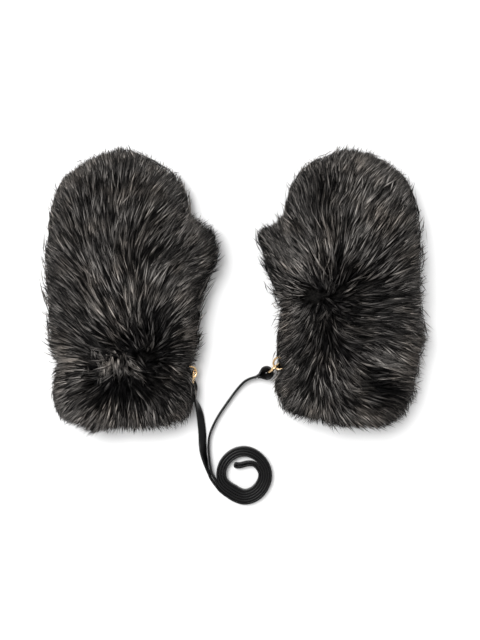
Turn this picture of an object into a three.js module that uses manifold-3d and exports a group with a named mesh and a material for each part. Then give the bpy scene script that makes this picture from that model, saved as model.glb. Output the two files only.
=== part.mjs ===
// A pair of long-haired fur mittens, lying on their palms with the backs up and the fingertips
// towards +Y, joined by one narrow leather strap. Each end of the strap is clipped to a D-ring at the
// thumb side of a wrist, and the strap's middle is wound, doubled and on edge, into a flat coil.
//
// Each mitten is drawn once in its own plan: u points from its long axis towards its thumb, along
// points from the fur's lower edge to the fingertips, and z is up. Millimetres throughout.

import * as THREE from "three";
import Module from "manifold-3d";
import { mergeVertices } from "three/addons/utils/BufferGeometryUtils.js";

const wasm = await Module();
wasm.setup();

// Where each mitten lies, and which way its thumb points along X.
const PLACES = {
  left: { axisX: -115.8, lowerEdgeY: -144.6, thumbTowards: 1 },
  right: { axisX: 117.2, lowerEdgeY: -140.6, thumbTowards: -1 },
};

// The fur's outline and height, a row for each section: how far the fur reaches from the long axis
// on the outer side and on the thumb side, and how high its crown is.
const OUTLINES = {
  left: [
    { along: 20, outer: 58, thumb: 68, crown: 47 },
    { along: 34, outer: 67, thumb: 72, crown: 52 },
    { along: 50, outer: 68, thumb: 73, crown: 54 },
    { along: 70, outer: 68, thumb: 77, crown: 52 },
    { along: 94, outer: 74, thumb: 81, crown: 56 },
    { along: 122, outer: 73, thumb: 79, crown: 61 },
    { along: 150, outer: 75, thumb: 75, crown: 64 },
    { along: 180, outer: 75, thumb: 71, crown: 65 },
    { along: 210, outer: 71, thumb: 70, crown: 63 },
    { along: 234, outer: 66, thumb: 66, crown: 58 },
    { along: 250, outer: 59, thumb: 61, crown: 52 },
    { along: 262, outer: 50, thumb: 51, crown: 46 },
    { along: 272, outer: 37, thumb: 36, crown: 40 },
    { along: 280, outer: 19, thumb: 19, crown: 33 },
    { along: 285, outer: 3, thumb: 3, crown: 26 },
  ],
  right: [
    { along: 20, outer: 54, thumb: 64, crown: 47 },
    { along: 32, outer: 63, thumb: 75, crown: 52 },
    { along: 48, outer: 65, thumb: 78, crown: 54 },
    { along: 70, outer: 69, thumb: 77, crown: 53 },
    { along: 92, outer: 75, thumb: 77, crown: 56 },
    { along: 120, outer: 70, thumb: 73, crown: 61 },
    { along: 148, outer: 70, thumb: 71, crown: 64 },
    { along: 176, outer: 69, thumb: 70, crown: 65 },
    { along: 206, outer: 66, thumb: 68, crown: 63 },
    { along: 230, outer: 61, thumb: 65, crown: 58 },
    { along: 246, outer: 55, thumb: 60, crown: 52 },
    { along: 258, outer: 47, thumb: 52, crown: 46 },
    { along: 268, outer: 34, thumb: 42, crown: 40 },
    { along: 276, outer: 18, thumb: 22, crown: 33 },
    { along: 281, outer: 2, thumb: 8, crown: 26 },
  ],
};

// The lie of the hair over the back of each mitten: a row gives the way that it points at a place,
// in degrees from the fingertips' direction, turning towards the thumb.
const HAIR = {
  left: [
    { u: 0, along: 265, turn: -5 },
    { u: -50, along: 235, turn: -28 },
    { u: -65, along: 175, turn: -36 },
    { u: -60, along: 105, turn: -58 },
    { u: -10, along: 175, turn: -12 },
    { u: -10, along: 115, turn: -22 },
    { u: 20, along: 100, turn: -6 },
    { u: 50, along: 235, turn: 16 },
    { u: 45, along: 130, turn: 26 },
    { u: 64, along: 98, turn: 62 },
    { u: -62, along: 62, turn: -118 },
    { u: -25, along: 42, turn: -168 },
    { u: 15, along: 40, turn: 176 },
    { u: 55, along: 42, turn: 140 },
    { u: -50, along: 26, turn: -155 },
    { u: 60, along: 26, turn: 152 },
  ],
  right: [
    { u: 0, along: 265, turn: -10 },
    { u: 43, along: 240, turn: 26 },
    { u: -40, along: 230, turn: -38 },
    { u: -48, along: 180, turn: -50 },
    { u: 5, along: 170, turn: -30 },
    { u: 52, along: 190, turn: 14 },
    { u: -57, along: 130, turn: -76 },
    { u: -10, along: 115, turn: -82 },
    { u: -55, along: 85, turn: -95 },
    { u: 50, along: 105, turn: 122 },
    { u: 33, along: 75, turn: 160 },
    { u: 55, along: 55, turn: 140 },
    { u: -20, along: 55, turn: -140 },
    { u: 5, along: 30, turn: -172 },
    { u: 50, along: 28, turn: 150 },
    { u: -45, along: 30, turn: -150 },
  ],
};
const HAIR_REACH = 32;

// Pile, hide and hollow.
const HIDE_TO_TIP = 22;
const CROWN_TO_HOLLOW = 20;
const PALM_TO_HOLLOW = 9;
const LOCKS_PROUD = 5;
const ROUNDNESS = 2.4;
const WAIST_SHARE = 0.42;
const PALM_BULGE = 1.25;
const SEAM_GAP = 0.3;
const SEAM_GROWTH = 1.012;
const HAND_SIDES = 18;
const HOLLOW_SIDES = 14;
const HOLLOW_MOUTH = -20;
const HOLLOW_ROWS = [20, 50, 70, 100, 140, 180, 210, 232, 246];
const HOLLOW_TIP = { along: 256, z: 22 };
const TALL = 140;
const SLIVER = 0.1;

// The thumb: a slanted bag from inside the hand to its own tip.
const THUMB = { u: 52, along: 112, z: 25, turn: 17 };
const THUMB_SECTIONS = [
  { along: -12, half: 20, rise: 19 },
  { along: 20, half: 21, rise: 20 },
  { along: 52, half: 21, rise: 20 },
  { along: 76, half: 19, rise: 18 },
  { along: 90, half: 14, rise: 13 },
  { along: 98, half: 4, rise: 4 },
];
const THUMB_SIDES = 12;
const THUMB_TIP = 100;
const THUMB_HOLLOW_INSET = 8;
const THUMB_HOLLOW_TIP = 84;
const THUMB_PATCH = [
  { u: 58, along: 222 },
  { u: 48, along: 112 },
  { u: 80, along: 89 },
  { u: 130, along: 86 },
  { u: 130, along: 229 },
];

// A lock of fur: a flat, bent tongue that tapers to a point, a row for each of its sections.
const LOCK_SECTIONS = [
  { way: 0, width: 0.7 },
  { way: 0.42, width: 1 },
  { way: 0.78, width: 0.6 },
];
const LOCK_THICKNESS = 0.22;
const LOCK_SINK = 4;
const LOCK_RISE = 0.7;
const LOCK_CURL = 0.14;
const TIP_PROUD = 1;
// The least length and width of the locks in each place, and how much more the largest have.
const LOCK_SIZES = {
  hand: { length: 42, longer: 12, width: 24, wider: 6 },
  edge: { length: 22, longer: 5, width: 22, wider: 4 },
  thumb: { length: 28, longer: 6, width: 17, wider: 5 },
};
// Where the locks stand: in rows over the hand and the thumb, and round the lower edge.
const FIRST_ROW = 36;
const LAST_ROW = 272;
const ROW_STEP = 36;
const LOCK_STEP = 36;
const SIDE_ROUND = 0.25;
const JITTER = { along: 0.4, angle: 0.8 };
const THUMB_ROWS = [24, 50, 76];
const THUMB_ANGLES = [-0.4, 0.45, 1.3, 2.15];
const THUMB_JITTER = { along: 8, angle: 0.3 };
const THUMB_SPREAD = { least: 0.25, more: 0.2 };
const EDGE_LOCKS = 12;
const EDGE_SPREAD = 0.3;
const EDGE_ROOT = { share: 0.62, up: 5 };
const HAND_SEEDS = { left: 7, right: 21 };
const EDGE_SEEDS = { left: 31, right: 43 };
const THUMB_SEEDS = { left: 53, right: 61 };

// The plain label, and the pocket that it presses into the fur.
const LABEL = { width: 21, length: 34, thickness: 1.2, depth: 13 };
const LABEL_PLACES = {
  left: { u: -13, along: 53 },
  right: { u: -31, along: 47 },
};

// The D-ring, its tab and the snap ring at the thumb side of the wrist.
const WIRE = 1.1;
const WIRE_SIDES = 6;
const RING_SEGMENTS = 20;
const D_RING = { half: 6.2, reach: 9.5, z: 17, droop: 14, bowPower: 0.6, barPower: 3 };
const TAB = { width: 8, stem: 9.5, stemHalf: 1.5, eye: 1.5, leather: 1.6 };
const SNAP = { radius: 7.3, z: 12, barrelRadius: 1.7, barrelLength: 6 };
// Where the D-ring's bar and the snap ring lie, and which way the bow and the snap ring point, in
// degrees from the fingertips' direction, turning towards the thumb.
const CLIP_PLACES = {
  left: { barU: 66.6, barAlong: 61, bowTurn: 92, snapU: 72.4, snapAlong: 55.3, snapTurn: 181 },
  right: { barU: 70.2, barAlong: 67.7, bowTurn: 116, snapU: 78.8, snapAlong: 61.2, snapTurn: 127 },
};
// Where the fur is pressed away beside the clip: from this far out, between two places, above a height.
const CLIP_ROOM = {
  left: [
    { fromU: 63.5, low: 51.5, high: 70, above: 12.5 },
    { fromU: 67.7, low: 45.5, high: 65, above: 0 },
    { fromU: 67.5, low: 26, high: 46, above: 0 },
  ],
  right: [
    { fromU: 63.5, low: 55, high: 79, above: 12.5 },
    { fromU: 70, low: 50, high: 70, above: 0 },
  ],
};

// The strap: a flat cord of black leather, folded back at each end into a loop.
const STRAP = { width: 7.8, thickness: 2.2, edge: 0.5 };
const LOOP = { behind: 3.7, widest: 0.6, below: 1, dip: 6 };
// The loop's leaf: where it turns round the wire and where it closes, each with its share of the half
// width, and the corner of its outside there.
const LEAF = { turn: 0.8, turnShare: 0.85, cornerBack: 0.6, cornerOut: 0.8, close: 3, closeShare: 0.42 };
const LOOPS = {
  left: { turn: 174.5, half: 1.9, point: 10, tail: 14.5 },
  right: { turn: 112, half: 3.6, point: 8, tail: 12 },
};
const COIL = { x: 8.5, y: -189.5, inner: 14, outer: 29.4 };
// Each leg's route from its loop to the coil; lean is the strap's turn from standing on edge to flat.
const LEGS = {
  left: [
    { x: -41.5, y: -112.1, z: 9.3, lean: 0 },
    { x: -40.2, y: -116, z: 8.2, lean: 18 },
    { x: -38.5, y: -120.7, z: 6.8, lean: 34 },
    { x: -36.7, y: -128.6, z: 4.9, lean: 53 },
    { x: -35.5, y: -137.7, z: 3.4, lean: 68 },
    { x: -34.7, y: -146.9, z: 2.6, lean: 74 },
    { x: -34.4, y: -156, z: 2.5, lean: 74 },
    { x: -33.9, y: -162.5, z: 3.1, lean: 58 },
    { x: -33.2, y: -167.9, z: 3.8, lean: 46 },
    { x: -31.6, y: -174.4, z: 4.2, lean: 30 },
    { x: -29.4, y: -182.6, z: 4.2, lean: 11 },
    { x: -27.7, y: -187.2, z: 4.1, lean: 5 },
    { x: -25.4, y: -193, z: 4, lean: 0 },
  ],
  right: [
    { x: 20.5, y: -88.3, z: 9.2, lean: 0 },
    { x: 14.6, y: -90.3, z: 7.6, lean: 0 },
    { x: 9.6, y: -92.9, z: 6.3, lean: 0 },
    { x: 4.2, y: -98.1, z: 4.8, lean: 0 },
    { x: -1.3, y: -104.8, z: 4.1, lean: 0 },
    { x: -6.7, y: -112.3, z: 4, lean: 0 },
    { x: -12.2, y: -120, z: 4, lean: 0 },
    { x: -17.6, y: -128.2, z: 4, lean: 0 },
    { x: -22.2, y: -136.5, z: 4, lean: 0 },
    { x: -25.4, y: -143.8, z: 4, lean: 0 },
    { x: -27.4, y: -150.6, z: 4, lean: 0 },
    { x: -28.1, y: -158, z: 4, lean: 0 },
    { x: -27.9, y: -166, z: 4, lean: 0 },
    { x: -27, y: -174.6, z: 4, lean: 0 },
    { x: -26, y: -181.6, z: 4, lean: 0 },
    { x: -24.6, y: -187.5, z: 4, lean: 0 },
  ],
};

const FUR = new THREE.MeshStandardMaterial({ color: 0x3a3735, roughness: 0.9, metalness: 0 });
const LEATHER = new THREE.MeshStandardMaterial({ color: 0x161516, roughness: 0.5, metalness: 0 });
const GOLD = new THREE.MeshStandardMaterial({ color: 0xd9ae6b, roughness: 0.25, metalness: 1 });

const radians = THREE.MathUtils.degToRad;
// The turn about Z that brings +X to a direction given in degrees from the fingertips' direction.
const pointing = (turn) => Math.PI / 2 - radians(turn);

// The same draw of numbers from 0 to 1 each time.
function draws(seed) {
  let state = seed;
  return () => {
    state = (state * 1664525 + 1013904223) % 4294967296;
    return state / 4294967296;
  };
}

// The value of a column at a place along a table, on a smooth curve through its rows.
function columnAt(rows, column, along) {
  const last = rows.length - 1;
  if (along <= rows[0].along) return rows[0][column];
  if (along >= rows[last].along) return rows[last][column];
  const i = rows.findIndex((row) => row.along > along) - 1;
  const [before, from, to, after] = [i - 1, i, i + 1, i + 2].map(
    (k) => rows[THREE.MathUtils.clamp(k, 0, last)],
  );
  const way = (along - from.along) / (to.along - from.along);
  const slope = (a, b) => (b.along > a.along ? (b[column] - a[column]) / (b.along - a.along) : 0);
  const span = to.along - from.along;
  const [m0, m1] = [slope(before, to) * span, slope(from, after) * span];
  const [w2, w3] = [way ** 2, way ** 3];
  return (
    (2 * w3 - 3 * w2 + 1) * from[column] +
    (w3 - 2 * w2 + way) * m0 +
    (3 * w2 - 2 * w3) * to[column] +
    (w3 - w2) * m1
  );
}

// A closed skin through rings of points, its ends drawn together at a pole or at the ring's middle.
function loft(rings, endPole) {
  const count = rings[0].length;
  const middle = (ring) =>
    ring.reduce((sum, p) => sum.add(p), new THREE.Vector3()).divideScalar(ring.length);
  const points = [...rings.flat(), middle(rings[0]), endPole ?? middle(rings.at(-1))];
  const startPole = rings.length * count;
  const faces = [];
  for (let k = 0; k < count; k++) {
    const next = (k + 1) % count;
    for (let r = 0; r + 1 < rings.length; r++) {
      const [a, b] = [r * count + k, r * count + next];
      faces.push(a, b, b + count, a, b + count, a + count);
    }
    const top = (rings.length - 1) * count;
    faces.push(startPole, next, k, startPole + 1, top + k, top + next);
  }
  return outwards(points, faces);
}

// The geometry of points and faces, with its faces turned outwards.
function outwards(points, faces) {
  let volume = 0;
  for (let i = 0; i < faces.length; i += 3) {
    const [a, b, c] = [0, 1, 2].map((k) => points[faces[i + k]]);
    volume += a.dot(b.clone().cross(c));
  }
  if (volume < 0)
    for (let i = 0; i < faces.length; i += 3)
      [faces[i + 1], faces[i + 2]] = [faces[i + 2], faces[i + 1]];
  return new THREE.BufferGeometry().setFromPoints(points).setIndex(faces);
}

// A wire ring along a closed path: path(turn) gives the wire's middle for a turn from 0 to 1.
function wireRing(path, normal) {
  const [segments, sides] = [RING_SEGMENTS, WIRE_SIDES];
  const points = [];
  const faces = [];
  for (let s = 0; s < segments; s++) {
    const here = path(s / segments);
    const ahead = path((s + 0.5) / segments).sub(path((s - 0.5) / segments));
    const across = ahead.cross(normal).normalize();
    for (let k = 0; k < sides; k++) {
      const angle = (k / sides) * 2 * Math.PI;
      points.push(
        here
          .clone()
          .addScaledVector(across, WIRE * Math.cos(angle))
          .addScaledVector(normal, WIRE * Math.sin(angle)),
      );
      const [a, b] = [s * sides + k, s * sides + ((k + 1) % sides)];
      const forward = (i) => (i + sides) % (segments * sides);
      faces.push(a, b, forward(b), a, forward(b), forward(a));
    }
  }
  return outwards(points, faces);
}

// Between three.js geometry and solids that can be joined and cut.
function solid(geometry) {
  const bare = geometry.clone();
  bare.deleteAttribute("normal");
  bare.deleteAttribute("uv");
  const merged = mergeVertices(bare, 1e-4);
  return new wasm.Manifold(
    new wasm.Mesh({
      numProp: 3,
      vertProperties: merged.attributes.position.array,
      triVerts: new Uint32Array(merged.index.array),
    }),
  );
}

function geometryOf(made) {
  const mesh = made.getMesh();
  return new THREE.BufferGeometry()
    .setAttribute("position", new THREE.BufferAttribute(new Float32Array(mesh.vertProperties), 3))
    .setIndex(new THREE.BufferAttribute(new Uint32Array(mesh.triVerts), 1));
}

function piece(name, geometry, material) {
  const mesh = new THREE.Mesh(geometry, material);
  mesh.name = name;
  mesh.geometry.computeVertexNormals();
  return mesh;
}

// A box from its lowest to its highest corner.
function block(low, high) {
  const [x, y, z] = high.map((value, i) => value - low[i]);
  return new THREE.BoxGeometry(x, y, z).translate(low[0] + x / 2, low[1] + y / 2, low[2] + z / 2);
}

// A plan outline made into a tall block that stands on the floor, at its own size or a little larger.
function patch(outline, growth) {
  const points = outline.map((p) => new THREE.Vector2(p.u, p.along));
  const middle = points.reduce((sum, p) => sum.add(p), new THREE.Vector2()).divideScalar(points.length);
  const grown = points.map((p) => p.clone().sub(middle).multiplyScalar(growth).add(middle));
  return new THREE.ExtrudeGeometry(new THREE.Shape(grown), { depth: TALL, bevelEnabled: false });
}

const signedPower = (value, power) => Math.sign(value) * Math.abs(value) ** power;

// A point of the fur's outside at a place along the hand and an angle round it, 0 at the thumb side
// and a quarter turn at the crown. The palm side is pressed flat where it rests.
function furPoint(rows, along, angle, inset) {
  const [outer, thumb, crown] = ["outer", "thumb", "crown"].map((c) => columnAt(rows, c, along));
  const half = Math.max(0.5, (outer + thumb) / 2 - inset);
  const waist = (crown - inset) * WAIST_SHARE;
  const height = Math.sin(angle) > 0 ? crown - inset - waist : waist * PALM_BULGE;
  const u = (thumb - outer) / 2 + half * signedPower(Math.cos(angle), 2 / ROUNDNESS);
  const z = waist + height * signedPower(Math.sin(angle), 2 / ROUNDNESS);
  return new THREE.Vector3(u, Math.min(along, rows.at(-1).along), Math.max(0, z));
}

// A point of the hollow's wall.
function hollowPoint(rows, along, angle) {
  const [outer, thumb, crown] = ["outer", "thumb", "crown"].map((c) => columnAt(rows, c, along));
  const top = crown - CROWN_TO_HOLLOW;
  const half = (outer + thumb) / 2 - HIDE_TO_TIP;
  return new THREE.Vector3(
    (thumb - outer) / 2 + half * signedPower(Math.cos(angle), 2 / ROUNDNESS),
    along,
    (top + PALM_TO_HOLLOW) / 2 +
      ((top - PALM_TO_HOLLOW) / 2) * signedPower(Math.sin(angle), 2 / ROUNDNESS),
  );
}

const around = (count, place) =>
  Array.from({ length: count }, (_, k) => place((k / count) * 2 * Math.PI));

// The hand's fur as one mass, without its locks.
function handMass(rows) {
  const rings = rows
    .slice(0, -1)
    .map((row) => around(HAND_SIDES, (angle) => furPoint(rows, row.along, angle, LOCKS_PROUD)));
  const last = rows.at(-1);
  return loft(rings, new THREE.Vector3((last.thumb - last.outer) / 2, last.along, last.crown / 2));
}

// The hand's hollow, from below the fur's lower edge to the fingertips.
function handHollow(rows) {
  const rings = HOLLOW_ROWS.map((along) => around(HOLLOW_SIDES, (angle) => hollowPoint(rows, along, angle)));
  const mouth = rings[0].map((p) => p.clone().setY(HOLLOW_MOUTH));
  return loft([mouth, ...rings], new THREE.Vector3(0, HOLLOW_TIP.along, HOLLOW_TIP.z));
}

// The thumb, or its hollow: its sections lie across a slanted line.
function thumbBag(inset, from, to) {
  const sections = THUMB_SECTIONS.filter((row) => row.along < to - 4);
  const rings = sections.map((row, i) =>
    around(THUMB_SIDES, (angle) =>
      new THREE.Vector3(
        (row.half - inset) * Math.cos(angle),
        i === 0 ? from : row.along,
        (row.rise - inset) * Math.sin(angle),
      ),
    ),
  );
  return loft(rings, new THREE.Vector3(0, to, 0))
    .rotateZ(radians(-THUMB.turn))
    .translate(THUMB.u, THUMB.along, THUMB.z);
}

// The way that the hair points at a place in the plan, from the table's rows near it.
function hairWay(rows, u, along) {
  const sum = new THREE.Vector2();
  for (const row of rows) {
    const near = Math.exp(-((row.u - u) ** 2 + (row.along - along) ** 2) / (2 * HAIR_REACH ** 2));
    sum.x += near * Math.sin(radians(row.turn));
    sum.y += near * Math.cos(radians(row.turn));
  }
  return new THREE.Vector3(sum.x, sum.y, 0).normalize();
}

// The geometry of a lock from the middle, side and facing of each of its sections, and its tip.
function tongue(sections, tip) {
  const rings = sections.map(({ middle, side, normal, wide }) => [
    middle.clone().addScaledVector(side, wide / 2),
    middle.clone().addScaledVector(normal, wide * LOCK_THICKNESS),
    middle.clone().addScaledVector(side, -wide / 2),
  ]);
  return loft(rings, tip);
}

// A lock on a bag of fur, whose surface is point(along, angle, inset). It starts under the surface,
// follows the hair's way along it, no further than the bag's lower end, and rises until its tip
// stands on the fur's outline.
function lockOn(point, along, angle, way, length, width, curl) {
  const forward = point(along + 1, angle, 0).sub(point(along - 1, angle, 0)).divideScalar(2);
  const round = point(along, angle + 0.02, 0).sub(point(along, angle - 0.02, 0)).divideScalar(0.04);
  const normal = round.clone().cross(forward).negate().normalize();
  const lie = way.clone().addScaledVector(normal, -way.dot(normal)).normalize();
  const side = lie.clone().cross(normal);
  // The steps along and round the bag that go one millimetre in a direction.
  const steps = (direction) => {
    const [ff, fr, rr] = [forward.dot(forward), forward.dot(round), round.dot(round)];
    const [fd, rd] = [forward.dot(direction), round.dot(direction)];
    const spread = ff * rr - fr * fr;
    return [(rr * fd - fr * rd) / spread, (ff * rd - fr * fd) / spread];
  };
  const [ahead, aside] = [steps(lie), steps(side)];
  const reach = ahead[0] < 0 ? Math.min(length, along / -ahead[0]) : length;
  const middle = (way) => {
    const [far, off] = [reach * way, reach * curl * way * way];
    const inset = LOCKS_PROUD + LOCK_SINK - (LOCKS_PROUD + LOCK_SINK + TIP_PROUD) * way ** LOCK_RISE;
    return point(along + ahead[0] * far + aside[0] * off, angle + ahead[1] * far + aside[1] * off, inset);
  };
  const sections = LOCK_SECTIONS.map((row) => {
    const [before, after] = [middle(Math.max(0, row.way - 0.1)), middle(row.way + 0.1)];
    const here = after.sub(before).normalize();
    const across = here.clone().cross(normal).normalize();
    const normalHere = across.clone().cross(here);
    return { middle: middle(row.way), side: across, normal: normalHere, wide: row.width * width };
  });
  return tongue(sections, middle(1));
}

// A lock's length and width.
function lockSize(place, next) {
  const { length, longer, width, wider } = LOCK_SIZES[place];
  return [length + longer * next(), width + wider * next()];
}

// Locks over the back and sides of a hand, in staggered rows from the wrist to the fingertips.
function handLocks(side) {
  const [rows, next] = [OUTLINES[side], draws(HAND_SEEDS[side])];
  const point = (along, angle, inset) => furPoint(rows, along, angle, inset);
  const locks = [];
  for (let row = FIRST_ROW; row < LAST_ROW; row += ROW_STEP) {
    const half = (columnAt(rows, "outer", row) + columnAt(rows, "thumb", row)) / 2;
    const count = Math.round((half * Math.PI) / LOCK_STEP);
    for (let k = 0; k < count; k++) {
      const angle = ((k + JITTER.angle * next()) / count) * (Math.PI + 2 * SIDE_ROUND) - SIDE_ROUND;
      const along = row + ROW_STEP * JITTER.along * (next() - 0.5);
      const way = hairWay(HAIR[side], furPoint(rows, along, angle, 0).x, along);
      const [length, width] = lockSize("hand", next);
      locks.push(lockOn(point, along, angle, way, length, width, LOCK_CURL * (2 * next() - 1)));
    }
  }
  return locks;
}

// Locks round the lower edge, which hang past the mouth of the hand.
function edgeLocks(side) {
  const [rows, next] = [OUTLINES[side], draws(EDGE_SEEDS[side])];
  const along = rows[0].along;
  return around(EDGE_LOCKS, (angle) => {
    const outside = furPoint(rows, along, angle, LOCKS_PROUD);
    const root = hollowPoint(rows, along, angle).lerp(outside, EDGE_ROOT.share).setY(along + EDGE_ROOT.up);
    const normal = new THREE.Vector3(Math.cos(angle), 0, Math.sin(angle));
    const lie = new THREE.Vector3(EDGE_SPREAD * Math.cos(angle), -1, 0).normalize();
    const across = lie.clone().cross(normal).normalize();
    const [length, width] = lockSize("edge", next);
    const middle = (way) => root.clone().addScaledVector(lie, length * way);
    const sections = LOCK_SECTIONS.map((row) => {
      return { middle: middle(row.way), side: across, normal, wide: row.width * width };
    });
    return tongue(sections, middle(1));
  });
}

// Locks over the outer side of the thumb, in its own slanted frame.
function thumbLocks(side) {
  const next = draws(THUMB_SEEDS[side]);
  const slant = new THREE.Matrix4()
    .makeTranslation(THUMB.u, THUMB.along, THUMB.z)
    .multiply(new THREE.Matrix4().makeRotationZ(radians(-THUMB.turn)));
  const point = (along, angle, inset) =>
    new THREE.Vector3(
      Math.max(0, columnAt(THUMB_SECTIONS, "half", along) - inset) * Math.cos(angle),
      Math.min(along, THUMB_TIP),
      Math.max(0, columnAt(THUMB_SECTIONS, "rise", along) - inset) * Math.sin(angle),
    );
  const locks = [];
  for (const row of THUMB_ROWS)
    for (const start of THUMB_ANGLES) {
      const along = row + THUMB_JITTER.along * (next() - 0.5);
      const angle = start + THUMB_JITTER.angle * next();
      const way = new THREE.Vector3(THUMB_SPREAD.least + THUMB_SPREAD.more * next(), 1, 0);
      const [length, width] = lockSize("thumb", next);
      const made = lockOn(point, along, angle, way, length, width, LOCK_CURL * (2 * next() - 1));
      locks.push(made.applyMatrix4(slant));
    }
  return locks;
}

// The label's and the clip's places in the fur.
function pocket(side) {
  const { u, along } = LABEL_PLACES[side];
  const [wide, long] = [LABEL.width / 2 + SEAM_GAP, LABEL.length / 2 + SEAM_GAP];
  const floor = columnAt(OUTLINES[side], "crown", along) - LABEL.depth;
  return block([u - wide, along - long, floor], [u + wide, along + long, TALL]);
}

function clipRoom(side) {
  return CLIP_ROOM[side].map(({ fromU, low, high, above }) => block([fromU, low, above], [TALL, high, TALL]));
}

function tabSlot(side) {
  const { barU, barAlong, bowTurn } = CLIP_PLACES[side];
  const [wide, high] = [TAB.width / 2 + SEAM_GAP, TAB.stemHalf + SEAM_GAP];
  return block([-TAB.stem - SEAM_GAP, -wide, -high], [0, wide, high])
    .rotateZ(pointing(bowTurn))
    .translate(barU, barAlong, D_RING.z);
}

const joined = (geometries) => geometries.map(solid).reduce((sum, part) => sum.add(part));
const cutFrom = (made, geometries) => geometries.map(solid).reduce((rest, part) => rest.subtract(part), made);

// A cut through a lock can part its tip from the hide, and such tips and the finest slivers fall away.
const withoutOffcuts = (made) =>
  made
    .decompose()
    .reduce((most, part) => (part.volume() > most.volume() ? part : most))
    .simplify(SLIVER);

// A hand and its thumb: one body of fur with one hollow, parted along the thumb's seam.
function furPieces(side) {
  const rows = OUTLINES[side];
  const mass = handMass(rows);
  const aboveFloor = solid(block([-TALL, -TALL, 0], [TALL, 3 * TALL, TALL]));
  const hollows = [handHollow(rows), thumbBag(THUMB_HOLLOW_INSET, THUMB_SECTIONS[0].along, THUMB_HOLLOW_TIP)];
  const hand = joined([mass, ...handLocks(side), ...edgeLocks(side)]).intersect(aboveFloor);
  const thumb = joined([mass, thumbBag(0, THUMB_SECTIONS[0].along, THUMB_TIP), ...thumbLocks(side)]);
  const thumbPart = thumb.intersect(aboveFloor).intersect(solid(patch(THUMB_PATCH, 1)));
  const handCuts = [patch(THUMB_PATCH, SEAM_GROWTH), pocket(side), ...clipRoom(side), tabSlot(side)];
  const cutHand = withoutOffcuts(cutFrom(hand, [...hollows, ...handCuts]));
  const cutThumb = withoutOffcuts(cutFrom(thumbPart, hollows));
  return [
    piece(side + "_hand_fur", geometryOf(cutHand), FUR),
    piece(side + "_thumb_fur", geometryOf(cutThumb), FUR),
  ];
}

// The plain label, lying on the floor of its pocket.
function label(side) {
  const { u, along } = LABEL_PLACES[side];
  const floor = columnAt(OUTLINES[side], "crown", along) - LABEL.depth;
  const plate = new THREE.BoxGeometry(LABEL.width, LABEL.length, LABEL.thickness);
  const mesh = piece(side + "_label", plate, LEATHER);
  mesh.position.set(u, along, floor + SEAM_GAP + LABEL.thickness / 2);
  return mesh;
}

// A mesh made round the D-ring's bar, brought to its place at a wrist.
function atBar(side, mesh) {
  const { barU, barAlong, bowTurn } = CLIP_PLACES[side];
  mesh.rotation.z = pointing(bowTurn);
  mesh.position.set(barU, barAlong, D_RING.z);
  return mesh;
}

// The tab: one strip of leather folded round the D-ring's bar, its ends sewn into the side seam.
function tab(side) {
  const radius = TAB.eye + TAB.leather;
  const start = Math.asin(TAB.stemHalf / radius);
  const shape = new THREE.Shape()
    .moveTo(-TAB.stem, -TAB.stemHalf)
    .absarc(0, 0, radius, Math.PI + start, Math.PI - start + 2 * Math.PI, false)
    .lineTo(-TAB.stem, TAB.stemHalf);
  shape.holes.push(new THREE.Path().absarc(0, 0, TAB.eye, 0, 2 * Math.PI, true));
  const strip = new THREE.ExtrudeGeometry(shape, { depth: TAB.width, bevelEnabled: false, curveSegments: 7 });
  const flat = strip.translate(0, 0, -TAB.width / 2).rotateX(Math.PI / 2);
  return atBar(side, piece(side + "_tab", flat, LEATHER));
}

// The D-ring: a straight bar and a round bow of wire, drooping from its bar.
function dRing(side) {
  const bow = (turn) => {
    const angle = turn * 2 * Math.PI;
    const out = Math.max(0, Math.cos(angle)) ** D_RING.bowPower * D_RING.reach;
    const way = Math.cos(angle) > 0 ? Math.sin(angle) : Math.sin(angle) ** D_RING.barPower;
    return new THREE.Vector3(out, way * D_RING.half, 0);
  };
  const wire = wireRing(bow, new THREE.Vector3(0, 0, 1)).rotateY(radians(D_RING.droop));
  return atBar(side, piece(side + "_ring", wire, GOLD));
}

// The snap ring stands on edge: a wire ring with the barrel of its spring gate on top.
function snapRing(side) {
  const { snapU, snapAlong, snapTurn } = CLIP_PLACES[side];
  const wire = new THREE.TorusGeometry(SNAP.radius, WIRE, WIRE_SIDES, RING_SEGMENTS);
  const barrel = new THREE.CylinderGeometry(SNAP.barrelRadius, SNAP.barrelRadius, SNAP.barrelLength, 10)
    .rotateZ(Math.PI / 2)
    .translate(0, SNAP.radius, 0);
  const mesh = piece(side + "_snap_ring", geometryOf(joined([wire, barrel])), GOLD);
  mesh.rotation.set(Math.PI / 2, pointing(snapTurn), 0);
  mesh.position.set(snapU, snapAlong, SNAP.z);
  return mesh;
}

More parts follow.
